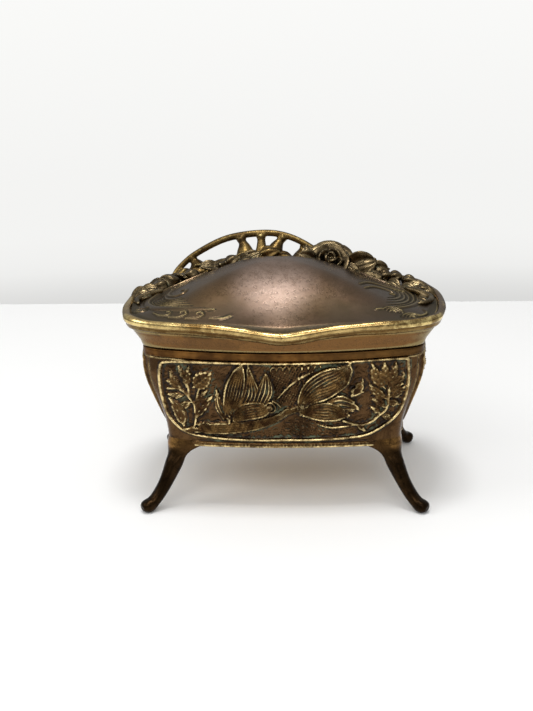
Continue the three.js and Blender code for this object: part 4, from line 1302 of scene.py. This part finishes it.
def rose(centre, axis, size):
    """A half-open rose: petals wrapped in a spiral round a tight heart, opening outwards."""
    centre = np.array(centre, float)
    axis = np.array(axis, float) / np.linalg.norm(axis)
    first = np.cross(axis, (0, 0, 1.0))
    first /= np.linalg.norm(first)
    second = np.cross(axis, first)
    pieces = [bud(centre, axis, size * 0.9, size * 0.42, folds=3, twist=1.4)]
    for ring, count, radius, height, flare, spread in ((0, 3, 0.22, 0.55, 0.1, 1.25),
                                                       (1, 4, 0.44, 0.45, 0.2, 0.98),
                                                       (2, 5, 0.66, 0.28, 0.34, 0.82),
                                                       (3, 6, 0.8, 0.05, 0.5, 0.66)):
        for step in range(count):
            turn = TURN * step / count + 0.8 * ring

            def place(u, v, turn=turn, radius=radius, height=height, flare=flare, spread=spread,
                      ring=ring):
                across = 2 * u - 1
                angle = turn + spread * across
                reach = size * (radius * (0.7 + 0.3 * v) + flare * v ** 2.4 + 0.05 * across)
                along = size * (-0.55 + (0.55 + height) * v * (1 - 0.3 * across ** 2) - 0.1 * ring * v ** 4)
                return (centre + axis * along[..., None] + first * (reach * np.cos(angle))[..., None]
                        + second * (reach * np.sin(angle))[..., None])

            pieces.append(shaped_sheet("petal", 20, 14, place, thickness=1.15))
    return pieces


def top_at(x, y, lift=0.0):
    """A point on the lid's upper surface, or a little above it."""
    return np.array([x, y, float(lid_top(np.float64(x), np.float64(y))) + lift])


def finish_casting(name, pieces, material, slot, node, voxel=0.3, passes=1):
    casting = joined(name, pieces)
    cast_together(casting, voxel, passes)
    mark_relief(casting, passes=8, scale=0.16)
    hand_in(casting, material, "lid", slot, node)


hoop = tube("hoop", [(-55, 33, 86.5), (-50.5, 35.5, 92), (-43, 37, 98), (-28.5, 38, 105),
                     (-12, 38, 107.5),
                     (-1, 37.5, 106.5), (9, 36, 102.5), (19, 33, 96), (24, 31, 90)],
            [1.7, 1.45, 1.5, 1.55, 1.6, 1.5, 1.45, 1.4, 1.6], 150, 20, square=0.7, up=(0, 1, 0))
arch = [hoop]
# Columns: foot and head across, head height, foot height, foot depth, radius at the foot, sideways bow.
for foot_x, head_x, head_z, foot_z, foot_y, foot, bow in (
        (-41, -46, 96.8, 87, 31.5, 4.6, 0.8), (-19, -22, 106.2, 95, 31.5, 3.9, 0.6),
                                                          (-12, -12, 107.4, 96, 32, 2.6, 0.2),
        (-7, -1, 106.4, 96, 32, 3.6, -0.4), (5, 9, 102.6, 93, 30, 3.6, 0.4)):
    middle = ((foot_x + head_x) / 2 + bow, 35.5, mix(foot_z, head_z, 0.55))
    arch.append(tube("strut", [(foot_x, foot_y, foot_z), middle, (head_x, 37.6, head_z)],
                     [foot * 1.3, foot * 1.15, foot * 0.9, 1.9, 2.6], 50, 20, up=(0, 1, 0)))
arch.append(tube("root", [(-55, 32.6, 85.8), (-44, 31.6, 88), (-28, 31, 91), (-12, 31, 94.5),
                          (4, 30.4, 92),
                          (24, 29, 87.4)], [1.8, 3.4, 3.6, 4.4, 3.6, 1.8], 120, 24))
arch.append(bud((-8.5, 32, 98.6), (0.9, -0.35, 0.3), 13, 9, folds=5))
arch.append(bud((-16.5, 32.6, 97.4), (-0.8, -0.4, 0.3), 10, 7.4, folds=4))
arch.append(bud((-1, 32, 96.8), (0.9, -0.4, 0.0), 10, 7, folds=4))
arch.append(bud((-26, 31.6, 93.6), (0.9, -0.3, 0.4), 10, 7, folds=5))
arch.append(bud((-49, 31, 89.4), (-0.8, -0.4, -0.3), 9, 6.4, folds=4))
for x, y, z, way, length, width in ((-8, 31, 95, 1, 9, 8), (-16, 31, 95, -1, 9, 8),
                                    (-44, 30.6, 90, 1, 8, 7)):
    arch.append(petal((x, y, z), (0.85 * way, -0.45, 0.4), (0, -1, 0.45), length, width, curl=1.2,
                      lean=0.3, cup=0.35,
                      thickness=1.3, blunt=0.4))
finish_casting("openwork_arch", arch, crest_gilt, "gilt_brass", "lid_crest", voxel=0.36, passes=2)

blossom = rose((20.6, 18.6, 98.4), (0.05, -0.74, 0.7), 8.9)
blossom += [petal((13.5, 18.5, 98), (-1, -0.25, 0.55), (-0.2, -0.8, 0.6), 9, 8, curl=1.2, lean=0.5,
                  cup=0.35),
            petal((12.5, 19, 95.5), (-1, -0.5, -0.05), (0, -0.7, 0.7), 8.5, 7, curl=0.9, lean=0.4,
                  cup=0.4),
            petal((11.5, 21, 99), (-0.5, 0.1, 1), (-0.2, -1, 0.2), 7, 6, curl=0.9, cup=0.3),
            petal((26.5, 17.5, 95), (1, -0.5, 0.1), (0.1, -0.6, 0.8), 8, 7, curl=1.0, lean=0.3, cup=0.3),
            bud((9.6, 20.5, 96.8), (-0.9, -0.5, 0.4), 6.5, 5, folds=4)]
for x in (8, 14, 20, 26):
    blossom.append(petal(top_at(x, 17.5, -0.6), (0.1 * (x - 17), -1, -0.2), (0, -0.3, 1), 7, 5.4,
                         curl=0.9, lean=0.3))
finish_casting("rose_bloom", blossom, flower_bronze, "chased_bronze", "lid_rose")

folded = [petal((29, 19.5, 94.4), (1, -0.1, 0.32), (-0.1, -0.9, 0.5), 14, 11, curl=1.1, lean=0.55,
                cup=0.5, blunt=0.45),
          petal((31, 16, 93), (1, -0.35, 0.0), (0, -0.55, 0.85), 14.5, 8.5, curl=0.9, lean=0.45,
                cup=-0.35, blunt=0.5),
          petal((39, 18.5, 93.5), (1, 0, 0.05), (0.2, -0.8, 0.6), 9.5, 8, curl=1.3, lean=0.6, cup=0.5),
          petal((34, 23, 93), (0.8, 0.2, 0.75), (0, -1, 0.4), 10, 9, curl=0.9, cup=0.4),
          bud((45.6, 15.6, 92.4), (1, -0.3, 0.1), 8, 5.4, folds=4, twist=0.6),
          bud((30, 16.4, 91.8), (0.5, -1, 0), 7, 5.2, folds=4)]
for x in (31, 37, 43):
    folded.append(petal(top_at(x, 14, -0.4), (0.35, -1, -0.1), (0, -0.2, 1), 6.5, 5, curl=0.9, lean=0.35))
finish_casting("folded_petals", folded, flower_bronze, "chased_bronze", "lid_folded_leaf")


def outwards(x, y):
    direction = np.array([x - PEAK_X, y - PEAK_Y, 0.0])
    return direction / np.linalg.norm(direction)


def shoulder_leaf(x, y, length, width, turn=0.0, lift=0.0, lean=0.4, curl=1.1):
    """A leaf that lies on the lid's shoulder with its tip towards the rim."""
    grow = outwards(x, y)
    grow = np.array([grow[0] * math.cos(turn) - grow[1] * math.sin(turn),
                     grow[0] * math.sin(turn) + grow[1] * math.cos(turn), -0.05])
    return petal(top_at(x, y, lift), grow, (0, -0.25, 1), length, width, curl=curl, lean=lean, cup=0.35)


right = [bud(top_at(50.5, 16, 3.0), (1, -0.4, 0.15), 7.5, 6.2, folds=5),
         bud(top_at(56.6, 13.5, 2.6), (1, -0.7, 0.1), 8, 6.6),
         shoulder_leaf(46, 12, 8, 6.5, -0.9), shoulder_leaf(52, 9, 8.5, 6.5, -0.7),
         shoulder_leaf(56, 15.5, 8.5, 8, 0.5, lift=1), shoulder_leaf(47, 20, 9, 8, 0.7, lift=0.8),
         shoulder_leaf(57, 8, 9.5, 8.5, -0.2, lift=0.8),
         shoulder_leaf(60, 1.5, 9.4, 9, -0.35, lift=0.6, curl=1.4),
         shoulder_leaf(59, -5, 8.4, 6.5, -0.5, lean=0.3),
         bud(top_at(62.4, 4.4, 2.0), (1, -0.8, 0), 7, 5.4, folds=4),
         tube("lip", [top_at(54, 4, 1), top_at(60, -1, 1.8), top_at(65, -6.6, 1.2), top_at(63, -13, 0.8),
                      top_at(58.6, -15, 0.2)], [1.1, 1.6, 1.7, 1.3, 0.8], 50, 16)]
finish_casting("right_garland", right, flower_bronze, "chased_bronze", "lid_garland_right")

left = [shoulder_leaf(-45.5, 19.5, 11, 8, -0.6, lift=1.5, curl=1.3),
        shoulder_leaf(-49, 21.5, 9, 7, 0.2, lift=0.8),
        petal(top_at(-50, 16, 0.0), (-1, -0.3, 0.3), (0.2, -0.8, 0.6), 9.5, 6.5, curl=1.0, lean=0.4,
              cup=0.3),
        bud(top_at(-52.5, 14, 1.6), (-0.5, -0.25, 0.85), 9.5, 8, folds=3),
        bud(top_at(-57, 10, 1.4), (-0.95, -0.3, 0.3), 8, 6.5, folds=3),
        bud(top_at(-43, 17, 1.8), (-1, -0.4, 0.1), 8, 4.6, folds=3),
        shoulder_leaf(-53, 12.5, 10.5, 9, -0.15, lift=1.4, curl=1.4),
        shoulder_leaf(-54, 17.5, 9, 7.5, 0.4, lift=0.6),
        shoulder_leaf(-58, 6.5, 10, 8.5, 0.35, lift=1.0, curl=1.4),
        bud(top_at(-57.5, 12, 2.2), (-1, -0.6, 0), 7.5, 5.6),
        shoulder_leaf(-60, 0, 9, 8, 0.3, lift=0.6, curl=1.3),
        shoulder_leaf(-62.5, 6, 9.4, 10, 0.25, lift=0.4, lean=0.2),
        shoulder_leaf(-63, -1, 8, 9, 0.1, lift=0.2, lean=0.25),
        shoulder_leaf(-57, 16, 9.5, 9, -0.1, lift=0.5),
        tube("lip", [top_at(-55, 3, 0.8), top_at(-61, -1, 1.4), top_at(-65.5, -6, 1.2),
                     top_at(-64.5, -12, 0.8)],
             [1.0, 1.5, 1.4, 0.8], 50, 16)]
finish_casting("left_garland", left, flower_bronze, "chased_bronze", "lid_garland_left")

shoulder = [petal((-36.5, 20.5, 94.2), (1, 0, 0.34), (-0.1, -0.75, 0.65), 14, 7.5, curl=0.5, lean=0.25,
                  cup=-0.3),
            bud((-24.8, 21.2, 98), (0.9, -0.1, 0.5), 9, 7, folds=5),
            bud((-29, 19.6, 96.4), (-0.4, -0.9, 0.5), 7.5, 5, folds=4),
            petal((-22, 20.5, 97), (0.6, -0.5, 0.4), (-0.1, -0.6, 0.8), 9, 7, curl=1.0, lean=0.5,
                  cup=0.4),
            petal((-20, 22.5, 98), (0.9, 0, 0.5), (0, -0.8, 0.6), 9, 6, curl=0.8, lean=0.2, cup=0.3),
            petal((-31, 21, 95.4), (-1, -0.2, 0.15), (0, -0.6, 0.8), 9, 6, curl=0.8, lean=0.4)]
finish_casting("shoulder_bud", shoulder, flower_bronze, "chased_bronze", "lid_bud_left")


# ---- Inside: cushion, linings and their cord ----

def stuffed_form(name, node, plan_z, inset, squareness=0.3):
    """A closed pad that fills the box of its CAD node, with the plan of the walls at a height."""
    low, high = mm_box(node)
    half = (high - low) / 2 - inset
    middle = (high + low) / 2
    turn = np.linspace(0, TURN, 400)
    ring = body_radius(turn, plan_z)
    reach = np.array([np.abs(ring * np.cos(turn)).max(), np.abs(ring * np.sin(turn)).max()])

    def place(u, v):
        angle = TURN * u
        radius = body_radius(angle, plan_z) * np.sin(math.pi * v) ** squareness
        level = np.cos(math.pi * v)
        height = half[2] * np.sign(level) * np.abs(level) ** 0.8
        return np.stack([middle[0] + radius * np.cos(angle) * half[0] / reach[0],
                         middle[1] + radius * np.sin(angle) * half[1] / reach[1], middle[2] + height],
                        axis=-1)

    return shaped_sphere(name, 120, 40, place)


CLOTH_STEPS = 20


def inflate(pad, voxel, pressure, most_mm):
    """Blow a pad up as cloth, and keep no point further than a limit from where it began."""
    apply(pad, "REMESH", mode="VOXEL", voxel_size=voxel * MM, adaptivity=0)
    start = points_of(pad)
    make_active(pad)
    cloth = pad.modifiers.new("cloth", "CLOTH")
    cloth.settings.use_pressure = True
    cloth.settings.uniform_pressure_force = pressure
    cloth.settings.effector_weights.gravity = 0
    cloth.settings.quality = 6
    cloth.settings.mass = 0.2
    cloth.settings.tension_stiffness = 12
    cloth.settings.bending_stiffness = 0.4
    cloth.point_cache.frame_start = 1
    cloth.point_cache.frame_end = CLOTH_STEPS
    for step in range(1, CLOTH_STEPS + 1):
        bpy.context.scene.frame_set(step)
    bpy.ops.object.modifier_apply(modifier="cloth")
    bpy.context.scene.frame_set(1)
    moved = points_of(pad) - start
    length = np.linalg.norm(moved, axis=1, keepdims=True)
    set_points(pad, (start + moved * np.minimum(1, most_mm * MM / np.maximum(length, 1e-9))) / MM)
    apply(pad, "SUBSURF", levels=1, render_levels=1)
    smooth(pad)


cushion = stuffed_form("silk_cushion", "floor_cushion", 33.3, 0.0, squareness=0.1)
inflate(cushion, 1.8, 4.0, 0.9)
points = points_of(cushion) / MM
low, high = mm_box("floor_cushion")
# The seam's piping runs round the cushion at half its height, and the silk gathers towards it.
middle_z = (low[2] + high[2]) / 2
angle = np.arctan2(points[:, 1], points[:, 0])
from_edge = np.hypot(points[:, 0] / high[0], points[:, 1] / high[1])
seam = bell(points[:, 2] - middle_z, 0.5) * smoothstep(from_edge, 0.85, 0.95)
gather = 0.16 * np.sin(58 * angle + 3 * np.sin(7 * angle)) * smoothstep(from_edge, 0.72, 0.95)
points[:, 2] += np.where(points[:, 2] > middle_z, 1, -0.3) * gather
points[:, :2] *= (1 - 0.012 * bell(np.abs(points[:, 2] - middle_z) - 0.95, 0.35)
                  * smoothstep(from_edge, 0.85, 0.95) + 0.006 * seam)[:, None]
points = np.clip(points, low - 0.2, high + 0.2)
set_points(cushion, points)
hand_in(cushion, rose_silk, "box", "silk", "floor_cushion")


def side_pad(name, node, start, end, steps_across, channels):
    """A padded lining glued up inside one wall, sewn in upright channels."""
    low, high = mm_box(node)
    steps_up = 44

    def face(u, v, share):
        angle = mix(end - 0.02, start + 0.02, u)
        z = mix(low[2] + 0.1, high[2] - 0.1, v)
        edge = (1 - np.abs(2 * u - 1) ** 14) * (1 - np.abs(2 * v - 1) ** 10)
        rolls = np.abs(np.sin(math.pi * channels * u)) ** 0.5
        puckers = 0.07 * np.sin(40 * v + 5 * np.sin(19 * u)) * (1 - rolls)
        thick = LINING * (0.3 + edge * (0.28 + 0.5 * rolls) + puckers)
        return body_point(angle, z, -(WALL + GAP + 0.05 + thick * share))

    pad = shaped_sheet(name, steps_across, steps_up, lambda u, v: face(u, v, 1.0), thickness=LINING)
    count = (steps_across + 1) * (steps_up + 1)
    u, v = np.meshgrid(np.linspace(0, 1, steps_across + 1), np.linspace(0, 1, steps_up + 1))
    points = points_of(pad) / MM
    points[count:] = face(u.ravel(), v.ravel(), 0.0)
    set_points(pad, points)
    hand_in(pad, rose_silk, "box", "silk", node)


side_pad("front_lining_pad", "lining_front", -math.pi - CORNER_FRONT, CORNER_FRONT, 190, 15)
side_pad("right_lining_pad", "lining_right", CORNER_FRONT, CORNER_REAR, 120, 9)
side_pad("rear_lining_pad", "lining_rear", CORNER_REAR, math.pi - CORNER_REAR, 190, 15)
side_pad("left_lining_pad", "lining_left", math.pi - CORNER_REAR, math.pi - CORNER_FRONT, 120, 9)


gimp_low, gimp_high = mm_box("lining_gimp")
GIMP_RADIUS = (gimp_high[2] - gimp_low[2]) / 2


def gimp_place(u, v):
    angle, around = TURN * u, TURN * v
    strands = 1 + 0.2 * np.abs(np.sin(1.5 * around + 110 * angle)) - 0.12
    radius = GIMP_RADIUS * strands
    line = body_point(angle, wall_high + 0 * angle,
                      -(WALL + GAP + GIMP_RADIUS + 0.15) + radius * np.cos(around))
    return np.stack([line[..., 0], line[..., 1],
                     (gimp_low[2] + gimp_high[2]) / 2 + radius * np.sin(around)], axis=-1)


gimp = shaped_ring("twisted_gimp", 1400, 12, gimp_place)
hand_in(gimp, gimp_gold, "box", "silk", "lining_gimp")

lid_pad = stuffed_form("lid_silk_pad", "lid_lining_pad", 70, 0.5, squareness=0.22)
inflate(lid_pad, 1.6, 3.0, 0.5)
points = points_of(lid_pad) / MM
low, high = mm_box("lid_lining_pad")
half = (high - low) / 2
from_edge = np.hypot(points[:, 0] / half[0], (points[:, 1] - (low[1] + high[1]) / 2) / half[1])
# Diagonal quilting, drawn in where the lines cross, on the side that shows when the lid is open.
across, along = (points[:, 0] + points[:, 1]) / 13.5, (points[:, 0] - points[:, 1]) / 13.5
lines = np.maximum(bell(np.sin(math.pi * across), 0.16), bell(np.sin(math.pi * along), 0.16))
knots = bell(np.sin(math.pi * across), 0.3) * bell(np.sin(math.pi * along), 0.3)
shown = (points[:, 2] < (low[2] + high[2]) / 2) * smoothstep(-from_edge, -0.9, -0.7)
points[:, 2] += shown * (0.45 * lines + 0.6 * knots)
set_points(lid_pad, np.clip(points, low - 0.1, high + 0.1))
hand_in(lid_pad, rose_silk, "lid", "silk", "lid_lining_pad")


# ---- Plates, cards and hinges keep their exact shapes and get their own finishes ----

for node, material in (("base_plate", sheet_brass), ("floor_card", lining_card),
                       ("lid_lining_card", lining_card),
                       ("hinge_left_pin", pin_steel), ("hinge_right_pin", pin_steel),
                       ("hinge_left_body_leaf", hinge_brass), ("hinge_right_body_leaf", hinge_brass),
                       ("hinge_left_lid_leaf", hinge_brass), ("hinge_right_lid_leaf", hinge_brass)):
    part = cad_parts[node]
    part.data.materials.clear()
    part.data.materials.append(material)


# ---- Floor, light and camera ----

# Plain film response, so that the white floor stays white.
bpy.context.scene.view_settings.view_transform = "Standard"


def floor_paint():
    finish = Finish("floor_white")
    cloud = finish.noise(3, 2, 0.5)
    colour = finish.blend(cloud, (0.83, 0.83, 0.83, 1), (0.86, 0.86, 0.855, 1))
    return finish.done(colour, 0.6, 0.0, Emission_Color=(1, 1, 1, 1), Emission_Strength=0.05)


FLOOR_WIDTH, FLOOR_DEPTH = 6000, 3000
FLOOR_BACK_EDGE = 290
deselect()
bpy.ops.mesh.primitive_plane_add(size=1)
floor = take("floor")
set_points(floor, points_of(floor) * np.array([FLOOR_WIDTH, FLOOR_DEPTH, 0])
           + np.array([0, FLOOR_BACK_EDGE - FLOOR_DEPTH / 2, 0]))
floor.data.materials.append(floor_paint())

world = bpy.data.worlds.new("room")
bpy.context.scene.world = world
world.use_nodes = True
room = world.node_tree
room.nodes.clear()


def room_node(kind, **settings):
    node = room.nodes.new(kind)
    for key, value in settings.items():
        setattr(node, key, value)
    return node


def sky_ramp(stops):
    """A colour that depends on how high a ray points."""
    direction = room_node("ShaderNodeTexCoord")
    axes = room_node("ShaderNodeSeparateXYZ")
    height = room_node("ShaderNodeMapRange")
    height.inputs["From Min"].default_value = -1
    ramp = room_node("ShaderNodeValToRGB")
    room.links.new(direction.outputs["Generated"], axes.inputs[0])
    room.links.new(axes.outputs["Z"], height.inputs["Value"])
    room.links.new(height.outputs["Result"], ramp.inputs["Fac"])
    while len(ramp.color_ramp.elements) < len(stops):
        ramp.color_ramp.elements.new(0.5)
    for element, (place, value) in zip(ramp.color_ramp.elements, stops):
        element.position = place
        element.color = (value, value, value * 0.985, 1)
    return ramp.outputs["Color"]


# Heights run from 0, straight down, to 1, straight up. The first ramp is the wall behind the box, and the
# second one lights the box.
WALL_SHADES = [(0.3605, 0.68), (0.367, 0.75), (0.376, 0.87), (0.387, 0.9), (0.41, 0.905), (0.475, 0.955)]
ROOM_LIGHT = [(0.0, 0.5), (0.47, 0.2), (0.6, 0.36), (0.8, 0.52), (1.0, 0.7)]
seen = room_node("ShaderNodeBackground")
room.links.new(sky_ramp(WALL_SHADES), seen.inputs["Color"])
lighting = room_node("ShaderNodeBackground")
room.links.new(sky_ramp(ROOM_LIGHT), lighting.inputs["Color"])
rays = room_node("ShaderNodeLightPath")
choice = room_node("ShaderNodeMixShader")
room.links.new(rays.outputs["Is Camera Ray"], choice.inputs[0])
room.links.new(lighting.outputs[0], choice.inputs[1])
room.links.new(seen.outputs[0], choice.inputs[2])
room.links.new(choice.outputs[0], room_node("ShaderNodeOutputWorld").inputs["Surface"])


def soft_light(name, place, aim, width, depth, power):
    deselect()
    bpy.ops.object.light_add(type="AREA", location=place)
    light = bpy.context.active_object
    light.name = name
    light.rotation_euler = (Vector(aim) - Vector(place)).to_track_quat("-Z", "Y").to_euler()
    light.data.shape = "RECTANGLE"
    light.data.size = width
    light.data.size_y = depth
    light.data.energy = power


soft_light("ceiling_panel", (-0.02, -0.1, 1.05), (0, 0, 0.04), 0.25, 0.21, 4.4)
soft_light("front_window", (-0.1, -1.0, 0.95), (0, 0, 0.06), 1.1, 0.5, 6)
soft_light("left_window", (-0.95, -0.2, 0.75), (0, 0, 0.06), 0.5, 0.5, 2.5)

CAMERA_PLACE = (0.0209, -0.5634, 0.2478)
CAMERA_HEADING, CAMERA_TILT, CAMERA_ROLL = 3, 71.5, -1.2
CAMERA_LENS, SENSOR_HEIGHT = 65.8, 36
deselect()
bpy.ops.object.camera_add(location=CAMERA_PLACE)
camera = bpy.context.active_object
camera.name = "camera"
camera.data.sensor_fit = "VERTICAL"
camera.data.sensor_height = SENSOR_HEIGHT
camera.data.lens = CAMERA_LENS
camera.data.clip_start = 0.01
turned = (Matrix.Rotation(math.radians(CAMERA_HEADING), 4, "Z")
          @ Matrix.Rotation(math.radians(CAMERA_TILT), 4, "X")
          @ Matrix.Rotation(math.radians(CAMERA_ROLL), 4, "Z"))
camera.rotation_euler = turned.to_euler()
bpy.context.scene.camera = camera

bpy.context.view_layer.update()
